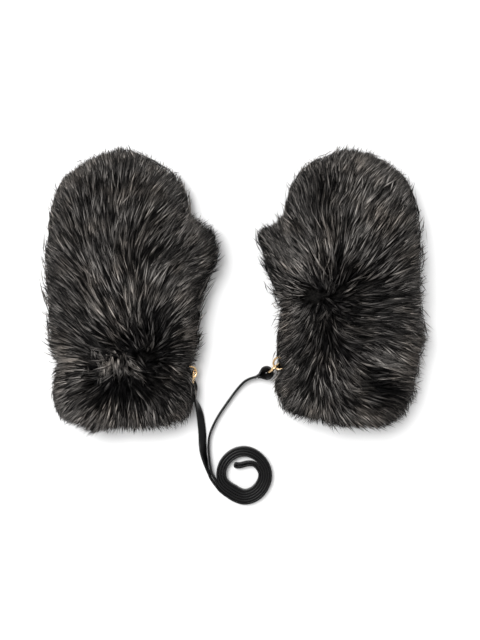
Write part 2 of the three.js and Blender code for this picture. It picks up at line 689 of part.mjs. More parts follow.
// The strap's folded end: a leaf-shaped loop through the snap ring, closed by its stitched tail.
function strapLoop(side) {
  const { snapU, snapAlong, snapTurn } = CLIP_PLACES[side];
  const { turn, half, point, tail } = LOOPS[side];
  const leaf = (out) => {
    const path = [
      [-LOOP.behind - out, 0],
      [
        LEAF.turn - LOOP.behind - out * LEAF.cornerBack,
        half * LEAF.turnShare + out * LEAF.cornerOut,
      ],
      [LOOP.widest, half + out],
      [point - LEAF.close, half * LEAF.closeShare + out],
      [point, out],
    ];
    const [near, far] = [path.slice(1), path.slice(1).reverse()];
    const back = far.filter(([, y]) => y > 0).map(([x, y]) => [x, -y]);
    return [path[0], ...near, ...back].map(([x, y]) => new THREE.Vector2(x, y));
  };
  const thick = STRAP.thickness;
  const outside = leaf(thick);
  const tailAt = outside.findIndex((p) => p.x === point);
  outside.splice(tailAt + 1, 0, new THREE.Vector2(tail, thick), new THREE.Vector2(tail, -thick));
  const shape = new THREE.Shape(outside);
  shape.holes.push(new THREE.Path(leaf(0).reverse()));
  const fold = new THREE.ExtrudeGeometry(shape, { depth: STRAP.width, bevelEnabled: false })
    .translate(0, 0, -STRAP.width / 2)
    .rotateY(radians(LOOP.dip));
  const mesh = piece(side + "_strap_loop", fold, LEATHER);
  mesh.rotation.z = pointing(turn);
  const [toU, toAlong] = [Math.sin(radians(snapTurn)), Math.cos(radians(snapTurn))];
  mesh.position.set(snapU + SNAP.radius * toU, snapAlong + SNAP.radius * toAlong, SNAP.z - LOOP.below);
  return mesh;
}

// A stretch of the strap: its flat section, with trimmed corners, carried along the leg's route.
function leg(name, route) {
  const curve = new THREE.CatmullRomCurve3(route.map(({ x, y, z }) => new THREE.Vector3(x, y, z)));
  const [wide, thick, edge] = [STRAP.width / 2, STRAP.thickness / 2, STRAP.edge];
  const section = [
    [wide - edge, thick],
    [wide, thick - edge],
    [wide, edge - thick],
    [wide - edge, -thick],
    [edge - wide, -thick],
    [-wide, edge - thick],
    [-wide, thick - edge],
    [edge - wide, thick],
  ];
  const steps = route.length - 1;
  const rings = route.map((row, i) => {
    const lean = radians(row.lean);
    const ahead = curve.getTangent(i / steps);
    const side = ahead.clone().cross(new THREE.Vector3(0, 0, 1)).normalize();
    const up = side.clone().cross(ahead);
    const across = up.clone().multiplyScalar(Math.cos(lean)).addScaledVector(side, Math.sin(lean));
    const face = side.clone().multiplyScalar(Math.cos(lean)).addScaledVector(up, -Math.sin(lean));
    const middle = curve.getPoint(i / steps);
    return section.map(([w, t]) => middle.clone().addScaledVector(across, w).addScaledVector(face, t));
  });
  return piece(name, loft(rings), LEATHER);
}

// The coil: the doubled strap's turns, as the ring that they fill.
function coil() {
  const { inner, outer, x, y } = COIL;
  const outline = [
    [inner, 0],
    [outer, 0],
    [outer, STRAP.width],
    [inner, STRAP.width],
    [inner, 0],
  ].map(([r, h]) => new THREE.Vector2(r, h));
  const mesh = piece("strap_coil", new THREE.LatheGeometry(outline, 32), LEATHER);
  mesh.rotation.x = Math.PI / 2;
  mesh.position.set(x, y, 0);
  return mesh;
}

// The whole pair.
const pair = new THREE.Group();
for (const [side, { axisX, lowerEdgeY, thumbTowards }] of Object.entries(PLACES)) {
  const mitten = new THREE.Group();
  mitten.add(...furPieces(side), label(side), tab(side), dRing(side), snapRing(side), strapLoop(side));
  mitten.position.set(axisX, lowerEdgeY, 0);
  mitten.scale.x = thumbTowards;
  pair.add(mitten, leg(`strap_${side}_leg`, LEGS[side]));
}
pair.add(coil());

export default pair;
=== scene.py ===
"""A pair of long-haired fur mittens, backs up, joined by one leather strap that is coiled between them.

The mittens' own plan is used for what belongs to a mitten: u points from the mitten's long axis towards
its thumb, along points from the fur's lower edge to the fingertips, and z is up. Sizes are in millimetres
and are turned into the frame's metres when a mesh is made.
"""

import math

import bpy
import numpy as np
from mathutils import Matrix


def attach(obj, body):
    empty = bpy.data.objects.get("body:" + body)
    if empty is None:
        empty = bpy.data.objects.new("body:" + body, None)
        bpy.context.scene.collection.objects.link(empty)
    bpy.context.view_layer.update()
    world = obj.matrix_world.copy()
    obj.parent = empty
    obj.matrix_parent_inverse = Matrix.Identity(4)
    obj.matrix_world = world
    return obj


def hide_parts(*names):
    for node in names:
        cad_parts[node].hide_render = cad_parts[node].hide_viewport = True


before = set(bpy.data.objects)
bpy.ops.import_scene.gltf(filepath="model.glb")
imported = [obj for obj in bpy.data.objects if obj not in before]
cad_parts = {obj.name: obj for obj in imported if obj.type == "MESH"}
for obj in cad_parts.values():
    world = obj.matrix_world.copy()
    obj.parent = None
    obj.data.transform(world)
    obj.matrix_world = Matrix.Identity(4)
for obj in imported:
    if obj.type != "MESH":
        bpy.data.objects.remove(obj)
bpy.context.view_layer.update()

# Camera, floor and light: the mittens lie on a white table and are seen from straight above, under a
# broad soft light at the upper left.
# The lens: its height, its place over the table, half the picture's height at a distance from the lens,
# and the sensor's height. MM is a millimetre in the frame's metres.
LENS_HEIGHT = 900.0
LENS_OVER = (4.2, -30.6)
FRAME_HALF, FRAME_DISTANCE = 320.0, 875.0
SENSOR = 24.0
MM = 0.001

camera_data = bpy.data.cameras.new("camera")
camera_data.sensor_fit = "VERTICAL"
camera_data.sensor_height = SENSOR
camera_data.lens = SENSOR / 2 * FRAME_DISTANCE / FRAME_HALF
camera_data.clip_end = 20.0
camera = bpy.data.objects.new("camera", camera_data)
camera.location = (LENS_OVER[0] * MM, LENS_OVER[1] * MM, LENS_HEIGHT * MM)
bpy.context.scene.collection.objects.link(camera)
bpy.context.scene.camera = camera
bpy.context.scene.view_settings.view_transform = "Standard"
bpy.context.scene.view_settings.look = "None"


def area_light(name, place, size, power):
    """A square soft light at a place, turned to face the middle of the table, in metres and watts."""
    data = bpy.data.lights.new(name, "AREA")
    data.size = size
    data.energy = power
    light = bpy.data.objects.new(name, data)
    light.location = place
    right, back, up = place
    tilt, turn = math.atan2(math.hypot(right, back), up), math.atan2(-back, -right)
    light.rotation_euler = (tilt, 0.0, turn - math.pi / 2)
    bpy.context.scene.collection.objects.link(light)


def node(tree, kind, settings=None, **inputs):
    """A shader node with its settings, and its inputs set to a value or linked to another's output."""
    made = tree.nodes.new(kind)
    for key, value in (settings or {}).items():
        setattr(made, key, value)
    for key, value in inputs.items():
        socket = made.inputs[int(key[1:])] if key[1:].isdigit() else made.inputs[key.replace("_", " ")]
        if isinstance(value, bpy.types.NodeSocket):
            tree.links.new(value, socket)
        else:
            socket.default_value = value
    return made


def map_range(tree, value, low, high, out_low=0.0, out_high=1.0):
    """The value carried straight from low..high to out_low..out_high, and kept between those."""
    made = node(tree, "ShaderNodeMapRange", i0=value, i1=low, i2=high, i3=out_low, i4=out_high)
    return made.outputs[0]


area_light("window", place=(-0.56, 0.4, 1.75), size=0.9, power=34.0)

# The studio round them: white walls and a darker ceiling, by the height of the way that is looked.
WALLS, CEILING, CEILING_FROM = 0.85, 0.5, 0.45
world = bpy.data.worlds.new("studio")
bpy.context.scene.world = world
world.use_nodes = True
studio = world.node_tree
backdrop = studio.nodes["Background"]
look = node(studio, "ShaderNodeTexCoord")
look_split = node(studio, "ShaderNodeSeparateXYZ", Vector=look.outputs["Generated"])
wall_light = map_range(studio, look_split.outputs["Z"], CEILING_FROM, 1.0, WALLS, CEILING)
studio.links.new(wall_light, backdrop.inputs["Strength"])
backdrop.inputs["Color"].default_value = (1.0, 1.0, 1.0, 1.0)

# The table: a white, matt sheet, this far each way from the middle, in metres.
FAR = 9.0
floor_mesh = bpy.data.meshes.new("floor")
floor_mesh.from_pydata([(-FAR, -FAR, 0), (FAR, -FAR, 0), (FAR, FAR, 0), (-FAR, FAR, 0)], [], [(0, 1, 2, 3)])
floor = bpy.data.objects.new("floor", floor_mesh)
bpy.context.scene.collection.objects.link(floor)
floor_paint = bpy.data.materials.new("table top")
floor_paint.use_nodes = True
floor_shader = floor_paint.node_tree.nodes["Principled BSDF"]
floor_shader.inputs["Base Color"].default_value = (0.9, 0.9, 0.9, 1.0)
floor_shader.inputs["Roughness"].default_value = 0.9
floor_mesh.materials.append(floor_paint)

# The strap: one flat strip of black leather, 8 mm wide, with creased edges. It runs from the left
# mitten's clip down its leg, is wound doubled and on edge into the coil, turns at the coil's middle,
# and comes back as the right mitten's leg.
STRAP_WIDTH, STRAP_THICKNESS, STRAP_ROUND = 7.8, 2.2, 0.55
STRAP_CORNER_POINTS, STRAP_STEP, STRAP_OFF_TABLE = 4, 0.8, 0.05
# The coil: its middle, the distance between its strips, how much closer they lie on its right, and over
# how many degrees; then the turn at which the legs meet it, and the turn between two points.
COIL_AT = np.array([8.5, -189.5])
COIL_PITCH, COIL_TIGHTER, TIGHTER_OVER = 2.6, 0.25, 50.0
TURN_START, TURN_STEP = 205.7, 5.0
# The left leg from its clip: x, y, height of the strip's lower edge above the table, and its lean from
# standing on edge to lying flat.
LEFT_LEG = np.array([
    [-41.9, -109.0, 5.8, 0],
    [-41.5, -112.1, 5.3, 2],
    [-40.2, -116.0, 4.1, 18],
    [-38.5, -120.7, 2.7, 34],
    [-36.7, -128.6, 1.1, 53],
    [-35.5, -137.7, 0.2, 68],
    [-34.7, -146.9, 0.0, 74],
    [-34.4, -156.0, 0.0, 74],
    [-33.9, -162.5, 0.0, 60],
    [-33.2, -167.9, 0.0, 46],
    [-31.6, -174.4, 0.0, 30],
    [-29.4, -182.6, 0.0, 11],
    [-27.7, -187.2, 0.0, 5],
    [-25.4, -193.0, 0.0, 0],
])
# The right leg from its clip, in the same way.
RIGHT_LEG = np.array([
    [23.9, -87.0, 5.8, 0],
    [20.5, -88.3, 5.2, 0],
    [14.6, -90.3, 3.6, 0],
    [9.6, -92.9, 2.3, 0],
    [4.2, -98.1, 0.8, 0],
    [-1.3, -104.8, 0.1, 0],
    [-6.7, -112.3, 0.0, 0],
    [-12.2, -120.0, 0.0, 0],
    [-17.6, -128.2, 0.0, 0],
    [-22.2, -136.5, 0.0, 0],
    [-25.4, -143.8, 0.0, 0],
    [-27.4, -150.6, 0.0, 0],
    [-28.1, -158.0, 0.0, 0],
    [-27.9, -166.0, 0.0, 0],
    [-27.0, -174.6, 0.0, 0],
    [-26.0, -181.6, 0.0, 0],
    [-24.6, -187.5, 0.0, 0],
])
# The outermost strip's middle over one turn of the coil: turn in degrees, and radius.
OUTER_TURN = np.array([
    [205.7, 30.0],
    [228.5, 27.6],
    [250.0, 27.6],
    [270.0, 28.5],
    [300.0, 28.0],
    [330.0, 27.2],
    [360.0, 27.3],
    [405.0, 27.3],
    [450.0, 28.5],
    [495.0, 28.0],
    [525.0, 27.7],
    [542.0, 27.3],
    [553.0, 26.5],
    [565.7, 24.8],
])
# Where the doubled strip leaves its turns and crosses the coil's hole to its fold: turn and radius.
CROSSING = np.array([
    [1112.0, 16.0],
    [1125.0, 15.5],
    [1136.0, 14.6],
    [1148.0, 13.2],
    [1161.0, 12.0],
    [1178.0, 11.0],
    [1196.0, 11.3],
    [1208.0, 13.0],
])
# The turn at which the crossing starts, half the distance of its strips there, and that at the fold.
RING_END, CROSSING_HALF, FOLD_RADIUS = 1098.0, 1.2, 1.75


def curve_through(rows, place):
    """The smooth curve through a table's rows, whose first column is the place. Between two rows it is
    the cubic whose slope at each row is that of the line through the row's two neighbours."""
    at, values = rows[:, 0], rows[:, 1:]
    slopes = np.empty_like(values)
    slopes[1:-1] = (values[2:] - values[:-2]) / (at[2:] - at[:-2])[:, None]
    slopes[0] = (values[1] - values[0]) / (at[1] - at[0])
    slopes[-1] = (values[-1] - values[-2]) / (at[-1] - at[-2])
    place = np.clip(place, at[0], at[-1])
    i = np.clip(np.searchsorted(at, place, side="right") - 1, 0, len(at) - 2)
    span = (at[i + 1] - at[i])[..., None]
    t = (place - at[i])[..., None] / span
    return (
        (2 * t**3 - 3 * t**2 + 1) * values[i]
        + (t**3 - 2 * t**2 + t) * span * slopes[i]
        + (3 * t**2 - 2 * t**3) * values[i + 1]
        + (t**3 - t**2) * span * slopes[i + 1]
    )


def unit(vectors):
    """The vectors at length one."""
    return vectors / np.maximum(np.linalg.norm(vectors, axis=-1, keepdims=True), 1e-9)


def evenly_along(points, spacing):
    """Points at even spacing on the smooth curve through the given points, by length."""
    length = np.concatenate([[0], np.cumsum(np.linalg.norm(np.diff(points[:, :3], axis=0), axis=1))])
    rows = np.column_stack([length, points])
    fine = curve_through(rows, np.linspace(0, length[-1], int(length[-1] / spacing * 4)))
    true = np.concatenate([[0], np.cumsum(np.linalg.norm(np.diff(fine[:, :3], axis=0), axis=1))])
    at = np.linspace(0, true[-1], int(true[-1] / spacing) + 1)
    return np.column_stack([np.interp(at, true, fine[:, k]) for k in range(fine.shape[1])]), at


def on_ring(turn, radius):
    """The plan point at a turn in degrees and a radius from the coil's middle."""
    angle = np.radians(turn)
    return COIL_AT + np.stack([np.cos(angle), np.sin(angle)], axis=-1) * np.asarray(radius)[..., None]


def doubled_route():
    """The middle between the two strips that are wound together, and half the distance between them.
    Each turn lies two pitches inside the one before, and the last part crosses the hole."""
    turn = np.arange(TURN_START, RING_END, TURN_STEP)
    laps = np.floor((turn - TURN_START) / 360)
    from_right = (turn % 360 + 180) % 360 - 180
    pitch = COIL_PITCH - COIL_TIGHTER * np.exp(-((from_right / TIGHTER_OVER) ** 2))
    outer = curve_through(OUTER_TURN, TURN_START + (turn - TURN_START) % 360)[:, 0]
    ring = on_ring(turn, outer - 2 * pitch * laps - pitch / 2)
    crossing = on_ring(CROSSING[:, 0], CROSSING[:, 1])
    half = np.concatenate([pitch / 2, np.linspace(CROSSING_HALF, FOLD_RADIUS, len(CROSSING))])
    return np.vstack([ring, crossing]), half


def strap_route():
    """The whole strap's middle line: left leg, one strip of the coil, the fold, the other strip back,
    and the right leg."""
    middle, half = doubled_route()
    ahead = unit(np.gradient(middle, axis=0))
    outward = np.stack([ahead[:, 1], -ahead[:, 0]], axis=-1)
    first = middle + outward * half[:, None]
    second = middle - outward * half[:, None]
    swing = np.radians(np.array([45.0, 90.0, 135.0]))
    fold = (
        middle[-1]
        + outward[-1] * FOLD_RADIUS * np.cos(swing)[:, None]
        + ahead[-1] * FOLD_RADIUS * np.sin(swing)[:, None]
    )
    wound = np.vstack([first, fold, second[::-1]])
    wound = np.column_stack([wound, np.zeros(len(wound)), np.zeros(len(wound))])
    route = np.vstack([LEFT_LEG, wound, RIGHT_LEG[::-1]])
    lean = np.radians(route[:, 3])
    rest = STRAP_WIDTH / 2 * np.cos(lean) + STRAP_THICKNESS / 2 * np.sin(lean)
    return np.column_stack([route[:, :2], route[:, 2] + rest + STRAP_OFF_TABLE, route[:, 3]])


def rounded_strip(width, thickness, corner, steps):
    """The section of a strip: a rectangle, thickness by width, whose corners are quarter circles. Each
    point is (across the width, through the thickness)."""
    angle = np.linspace(0, math.pi / 2, steps)
    arc = np.stack([np.cos(angle), np.sin(angle)], axis=-1) * corner
    inside = np.array([width / 2 - corner, thickness / 2 - corner])
    quarter = arc + inside
    return np.vstack([
        quarter,
        (quarter * [-1, 1])[::-1],
        quarter * [-1, -1],
        (quarter * [1, -1])[::-1],
    ])


def as_mesh(name, points, faces, uv=None):
    """A smooth-shaded object at the origin from points in millimetres, faces as index rows, and a UV
    pair for each corner of each face."""
    mesh = bpy.data.meshes.new(name)
    faces = np.asarray(faces, dtype=np.int32)
    corners = faces.shape[1]
    mesh.vertices.add(len(points))
    mesh.vertices.foreach_set("co", (np.asarray(points, dtype=np.float64) * MM).astype(np.float32).ravel())
    mesh.loops.add(faces.size)
    mesh.loops.foreach_set("vertex_index", faces.ravel())
    mesh.polygons.add(len(faces))
    mesh.polygons.foreach_set("loop_start", np.arange(0, faces.size, corners, dtype=np.int32))
    mesh.polygons.foreach_set("use_smooth", np.ones(len(faces), dtype=bool))
    mesh.update(calc_edges=True)
    if uv is not None:
        layer = mesh.uv_layers.new(name="OFBake")
        layer.data.foreach_set("uv", np.asarray(uv, dtype=np.float32).ravel())
    piece = bpy.data.objects.new(name, mesh)
    bpy.context.scene.collection.objects.link(piece)
    return piece


def tube_faces(rings, count, closed):
    """Quads between rings of count points, joined back to the first ring where the tube is closed."""
    k = np.arange(count)
    r = np.arange(rings if closed else rings - 1)[:, None]
    here, there = r * count, ((r + 1) % rings) * count
    a, b = here + k, here + (k + 1) % count
    c, d = there + (k + 1) % count, there + k
    return np.stack([a, b, c, d], axis=-1).reshape(-1, 4)


def facing_out(points, faces):
    """The faces, turned round if the closed surface that they make has them pointing inwards."""
    p = points[faces[:, :3]]
    volume = np.einsum("ij,ij->i", p[:, 0], np.cross(p[:, 1], p[:, 2])).sum()
    if faces.shape[1] == 4:
        q = points[faces[:, [0, 2, 3]]]
        volume += np.einsum("ij,ij->i", q[:, 0], np.cross(q[:, 1], q[:, 2])).sum()
    return faces if volume > 0 else faces[:, ::-1]


def capped_tube(rings):
    """Points and triangles of a tube through rings of points, an array (rings, count, 3), whose ends are
    closed round their middles."""
    total, count = rings.shape[:2]
    points = np.vstack([rings.reshape(-1, 3), rings[0].mean(axis=0), rings[-1].mean(axis=0)])
    quads = tube_faces(total, count, False)
    k = np.arange(count)
    start, end = total * count, total * count + 1
    caps = np.vstack([
        np.stack([np.full(count, start), (k + 1) % count, k], axis=-1),
        np.stack([np.full(count, end), end - 1 - count + k, end - 1 - count + (k + 1) % count], axis=-1),
    ])
    triangles = np.vstack([quads[:, [0, 1, 2]], quads[:, [0, 2, 3]], caps])
    return points, facing_out(points, triangles)


def strip_along(line, lean, section):
    """The rings of a strip carried along a line: standing on edge at lean 0 and lying flat at 90."""
    ahead = unit(np.gradient(line, axis=0))
    side = unit(np.cross(ahead, [0.0, 0.0, 1.0]))
    up = np.cross(side, ahead)
    lean = np.radians(lean)[:, None]
    across = up * np.cos(lean) + side * np.sin(lean)
    face = side * np.cos(lean) - up * np.sin(lean)
    return (
        line[:, None]
        + across[:, None] * section[None, :, :1]
        + face[:, None] * section[None, :, 1:]
    )


def strip_uv(faces, rings, count, length, width, section):
    """A UV pair for each corner: across the strip from 0 to 1, and along it in widths."""
    across = np.tile(section[:, 0] / width + 0.5, rings)
    along = np.repeat(length / width, count)
    across = np.concatenate([across, [0.5, 0.5]])
    along = np.concatenate([along, [along[0], along[-1]]])
    return np.stack([across[faces], along[faces]], axis=-1)


def new_material(name, colour, roughness, **even):
    """A material with an even base colour and roughness, and its nodes, links and shader."""
    material = bpy.data.materials.new(name)
    material.use_nodes = True
    tree = material.node_tree
    shader = tree.nodes["Principled BSDF"]
    shader.inputs["Base Color"].default_value = (*colour, 1.0)
    shader.inputs["Roughness"].default_value = roughness
    for socket, value in even.items():
        shader.inputs[socket.replace("_", " ")].default_value = value
    return material, tree, shader


def maths(tree, operation, *values):
    """What a Math node makes of the values, each a number or another node's output."""
    inputs = {f"i{k}": value for k, value in enumerate(values)}
    return node(tree, "ShaderNodeMath", {"operation": operation}, **inputs).outputs[0]


def colour_ramp(tree, factor, *stops):
    """The colour that a ramp gives for a factor, from stops of (place, colour) in rising order."""
    ramp = node(tree, "ShaderNodeValToRGB", Fac=factor)
    elements = ramp.color_ramp.elements
    elements[0].position, elements[1].position = stops[0][0], stops[-1][0]
    elements[0].color, elements[1].color = (*stops[0][1], 1.0), (*stops[-1][1], 1.0)
    for place, colour in stops[1:-1]:
        elements.new(place).color = (*colour, 1.0)
    return ramp.outputs["Color"]


def leather_grain():
    """Fine pebbled grain and faint creases on Object coordinates: Height for bump, Tone for colour."""
    group = bpy.data.node_groups.new("leather grain", "ShaderNodeTree")
    group.interface.new_socket("Pebbles per metre", in_out="INPUT", socket_type="NodeSocketFloat")
    group.interface.new_socket("Height", in_out="OUTPUT", socket_type="NodeSocketFloat")
    group.interface.new_socket("Tone", in_out="OUTPUT", socket_type="NodeSocketFloat")
    start = group.nodes.new("NodeGroupInput")
    end = group.nodes.new("NodeGroupOutput")
    place = node(group, "ShaderNodeTexCoord")
    pebbles = node(
        group, "ShaderNodeTexVoronoi", {"feature": "SMOOTH_F1"},
        Vector=place.outputs["Object"], Scale=start.outputs[0],
    )
    broad = node(group, "ShaderNodeTexNoise", Vector=place.outputs["Object"], Scale=90.0, Detail=5.0)
    height = maths(group, "MULTIPLY_ADD", broad.outputs["Fac"], 0.6, pebbles.outputs["Distance"])
    group.links.new(height, end.inputs["Height"])
    group.links.new(broad.outputs["Fac"], end.inputs["Tone"])
    return group


GRAIN = leather_grain()
PEBBLES_PER_METRE = 1900.0
# Across a strip, in widths from its middle: where the creased line starts, is deepest and ends, how
# deep it is beside the grain, and where the painted edge starts and is full.
CREASE_FROM, CREASE_DEEPEST, CREASE_TO, CREASE_DEPTH = 0.36, 0.385, 0.41, 2.2
EDGE_FROM, EDGE_FULL = 0.44, 0.49


def leather(name, dark, light, roughness, bump, creased):
    """Black leather: grain in the bump, a little unevenness in colour and polish, and, on a strip, a
    creased line near each edge and a polished, painted edge."""
    material, tree, shader = new_material(name, dark, roughness, Specular_IOR_Level=0.22)
    grain = tree.nodes.new("ShaderNodeGroup")
    grain.node_tree = GRAIN
    grain.inputs[0].default_value = PEBBLES_PER_METRE
    colour = colour_ramp(tree, grain.outputs["Tone"], (0.35, dark), (0.7, light))
    rough = map_range(tree, grain.outputs["Tone"], 0.3, 0.7, roughness - 0.06, roughness + 0.1)
    height = grain.outputs["Height"]
    if creased:
        uv = node(tree, "ShaderNodeUVMap", {"uv_map": "OFBake"})
        split = node(tree, "ShaderNodeSeparateXYZ", Vector=uv.outputs["UV"])
        off = maths(tree, "ABSOLUTE", maths(tree, "SUBTRACT", split.outputs["X"], 0.5))
        falls = map_range(tree, off, CREASE_FROM, CREASE_DEEPEST)
        rises = map_range(tree, off, CREASE_DEEPEST, CREASE_TO)
        height = maths(tree, "MULTIPLY_ADD", maths(tree, "SUBTRACT", falls, rises), -CREASE_DEPTH, height)
        edge = map_range(tree, off, EDGE_FROM, EDGE_FULL)
        rough = node(tree, "ShaderNodeMix", Factor=edge, i2=rough, i3=roughness - 0.08).outputs[0]
    raised = node(tree, "ShaderNodeBump", Strength=bump, Distance=0.0002, Height=height)
    tree.links.new(colour, shader.inputs["Base Color"])
    tree.links.new(rough, shader.inputs["Roughness"])
    tree.links.new(raised.outputs["Normal"], shader.inputs["Normal"])
    return material


BLACK = (0.0022, 0.0022, 0.0025)
STRAP_LEATHER = leather("strap leather", BLACK, (0.0045, 0.0043, 0.0045), 0.36, 0.3, True)

strap_line, strap_length = evenly_along(strap_route(), STRAP_STEP)
strap_section = rounded_strip(STRAP_WIDTH, STRAP_THICKNESS, STRAP_ROUND, STRAP_CORNER_POINTS)
strap_rings = strip_along(strap_line[:, :3], strap_line[:, 3], strap_section)
strap_points, strap_faces = capped_tube(strap_rings)
strap_corners = strip_uv(
    strap_faces, len(strap_rings), len(strap_section), strap_length, STRAP_WIDTH, strap_section
)
strap = as_mesh("strap", strap_points, strap_faces, uv=strap_corners)
strap.data.materials.append(STRAP_LEATHER)
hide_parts("strap_left_leg", "strap_right_leg", "strap_coil")
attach(strap, "root")

# The clips: at each wrist a leather tab sewn into the side seam is folded round the straight bar of a
# D-ring, a snap ring with a spring gate hangs in the D-ring, and the strap's end is folded through the
# snap ring and tacked to itself. The metal is plated pale gold and polished.
# Each mitten's place: where its long axis and its fur's lower edge lie, and which way its thumb points.
PLACES = {"left": (-115.8, -144.6, 1), "right": (117.2, -140.6, -1)}
# The wire's radius and the sides that its circle is drawn with.
WIRE, WIRE_SIDES = 1.1, 14
# The D-ring: its half width, its reach, its bar's height above the table, its droop in degrees, and the
# power that squares its shoulders. The snap ring: its radius and height, and its gate's barrel. The tab:
# its section, its length up to the bar, its eye's radius, and the turn each way that it is folded by.
D_HALF, D_REACH, D_HEIGHT, D_DROOP, D_SQUARE = 6.2, 9.5, 17.0, 14.0, 0.6
SNAP_RADIUS, SNAP_HEIGHT, BARREL_RADIUS, BARREL_LENGTH = 7.3, 12.0, 1.7, 6.0
TAB_WIDTH, TAB_THICKNESS, TAB_ROUND, TAB_STEM, TAB_EYE, TAB_FOLD = 8.0, 1.5, 0.35, 9.5, 1.5, 142
# Each clip: the middle of the D-ring's bar and of the snap ring, and the ways that the bow, the snap
# ring and the strap's loop point, in degrees from the fingertips' direction towards the thumb. Then the
# loop's half opening, its lean there, where it closes and its tail's end, and the place, with its
# radius, that the hair leaves bare.
CLIPS = {
    "left": {
        "bar": (66.6, 61.0), "snap": (72.4, 55.3),
        "bow_turn": 92.0, "snap_turn": 181.0, "loop_turn": 174.5,
        "half": 1.9, "lean": 8.0, "point": 10.0, "tail": 13.7, "clear": (73.5, 64.0, 6.5),
    },
    "right": {
        "bar": (70.2, 67.7), "snap": (78.8, 61.2),
        "bow_turn": 116.0, "snap_turn": 127.0, "loop_turn": 112.0,
        "half": 2.6, "lean": 50.0, "point": 8.0, "tail": 11.2, "clear": (75.5, 64.5, 8.0),
    },
}
# The strap's loop: how far it reaches behind the wire, where it is widest, how far its middle lies under
# the snap ring's, its dip in degrees, and the gap between two layers that lie together.
LOOP_BEHIND, LOOP_WIDEST, LOOP_BELOW, LOOP_DIP, LAYER_GAP = 3.7, 0.6, 1.0, 6.0, 0.02


def on_table(side, points):
    """Points of a mitten's own plan put where the mitten lies."""
    axis, edge, towards = PLACES[side]
    return np.stack([axis + towards * points[..., 0], edge + points[..., 1], points[..., 2]], axis=-1)


def plated_gold():
    """Pale gold plating: bright and nearly mirror-smooth, with hairline scratches and dulled patches."""
    material, tree, shader = new_material("plated gold", (0.86, 0.60, 0.33), 0.18, Metallic=1.0)
    place = node(tree, "ShaderNodeTexCoord").outputs["Object"]
    patches = node(tree, "ShaderNodeTexNoise", Vector=place, Scale=420.0, Detail=6.0).outputs["Fac"]
    rough = map_range(tree, patches, 0.35, 0.7, 0.12, 0.3)
    colour = colour_ramp(tree, patches, (0.0, (0.78, 0.50, 0.24)), (1.0, (0.95, 0.72, 0.44)))
    stretched = node(tree, "ShaderNodeMapping", Vector=place, Scale=(900.0, 5000.0, 5000.0))
    scratches = node(tree, "ShaderNodeTexNoise", Vector=stretched.outputs[0], Scale=1.0, Detail=2.0)
    bump = node(tree, "ShaderNodeBump", Strength=0.08, Distance=0.0001, Height=scratches.outputs["Fac"])
    tree.links.new(colour, shader.inputs["Base Color"])
    tree.links.new(rough, shader.inputs["Roughness"])
    tree.links.new(bump.outputs["Normal"], shader.inputs["Normal"])
    return material


GOLD = plated_gold()
CLIP_LEATHER = leather("clip leather", BLACK, (0.005, 0.0045, 0.0045), 0.4, 0.35, False)


def wire_ring(path, normal, radius, sides):
    """Points and quads of a round wire along a closed path: the circle of the wire lies across the path,
    in the plane of the given normal and of the way across."""
    ahead = np.roll(path, -1, axis=0) - np.roll(path, 1, axis=0)
    across = unit(np.cross(ahead, normal))
    angle = np.linspace(0, 2 * math.pi, sides, endpoint=False)
    rings = (
        path[:, None]
        + across[:, None] * (radius * np.cos(angle))[None, :, None]
        + np.asarray(normal)[None, None] * (radius * np.sin(angle))[None, :, None]
    )
    points = rings.reshape(-1, 3)
    return points, facing_out(points - points.mean(axis=0), tube_faces(len(path), sides, True))


def turned(points, heading):
    """Points whose first axis is turned to a heading, in degrees from +along towards +u, in the plan."""
    angle = math.radians(heading)
    ahead = np.array([math.sin(angle), math.cos(angle), 0.0])
    aside = np.array([-ahead[1], ahead[0], 0.0])
    up = np.array([0.0, 0.0, 1.0])
    return points[..., :1] * ahead + points[..., 1:2] * aside + points[..., 2:] * up


def spun(profile, sides):
    """Points and triangles of a solid of revolution about the first axis: rows of (place, radius), closed
    at both ends."""
    angle = np.linspace(0, 2 * math.pi, sides, endpoint=False)
    profile = np.asarray(profile)
    rings = np.stack([
        np.repeat(profile[:, :1], sides, axis=1),
        profile[:, 1:] * np.cos(angle),
        profile[:, 1:] * np.sin(angle),
    ], axis=-1)
    return capped_tube(rings)


def put_together(*parts):
    """One mesh's points and triangles from several, quads among them."""
    points, faces, count = [], [], 0
    for p, f in parts:
        f = np.asarray(f)
        if f.shape[1] == 4:
            f = np.vstack([f[:, [0, 1, 2]], f[:, [0, 2, 3]]])
        points.append(p)
        faces.append(f + count)
        count += len(p)
    return np.vstack(points), np.vstack(faces)


def placed(side, name, points, faces, material, slot, *nodes, uv=None):
    """A piece of a clip or a mitten, put where its mitten lies, which replaces its CAD nodes. The right
    mitten's plan is mirrored, so its faces are turned round to point outwards."""
    if PLACES[side][2] < 0:
        faces = faces[:, ::-1]
        uv = None if uv is None else uv[:, ::-1]
    piece = as_mesh(name, on_table(side, points), faces, uv=uv)
    piece.data.materials.append(material)
    if nodes:
        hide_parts(*nodes)
    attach(piece, "root")
    return piece


def dipped(points, angle):
    """Points turned about the second axis, so that what lies ahead goes down by the angle in degrees."""
    cosine, sine = math.cos(math.radians(angle)), math.sin(math.radians(angle))
    ahead, up = points[:, 0], points[:, 2]
    return np.stack([ahead * cosine + up * sine, points[:, 1], up * cosine - ahead * sine], axis=-1)


def at_bar(side, points):
    """Points made round the D-ring's bar, with the bow ahead, brought to their place at a wrist."""
    return turned(points, CLIPS[side]["bow_turn"]) + [*CLIPS[side]["bar"], D_HEIGHT]


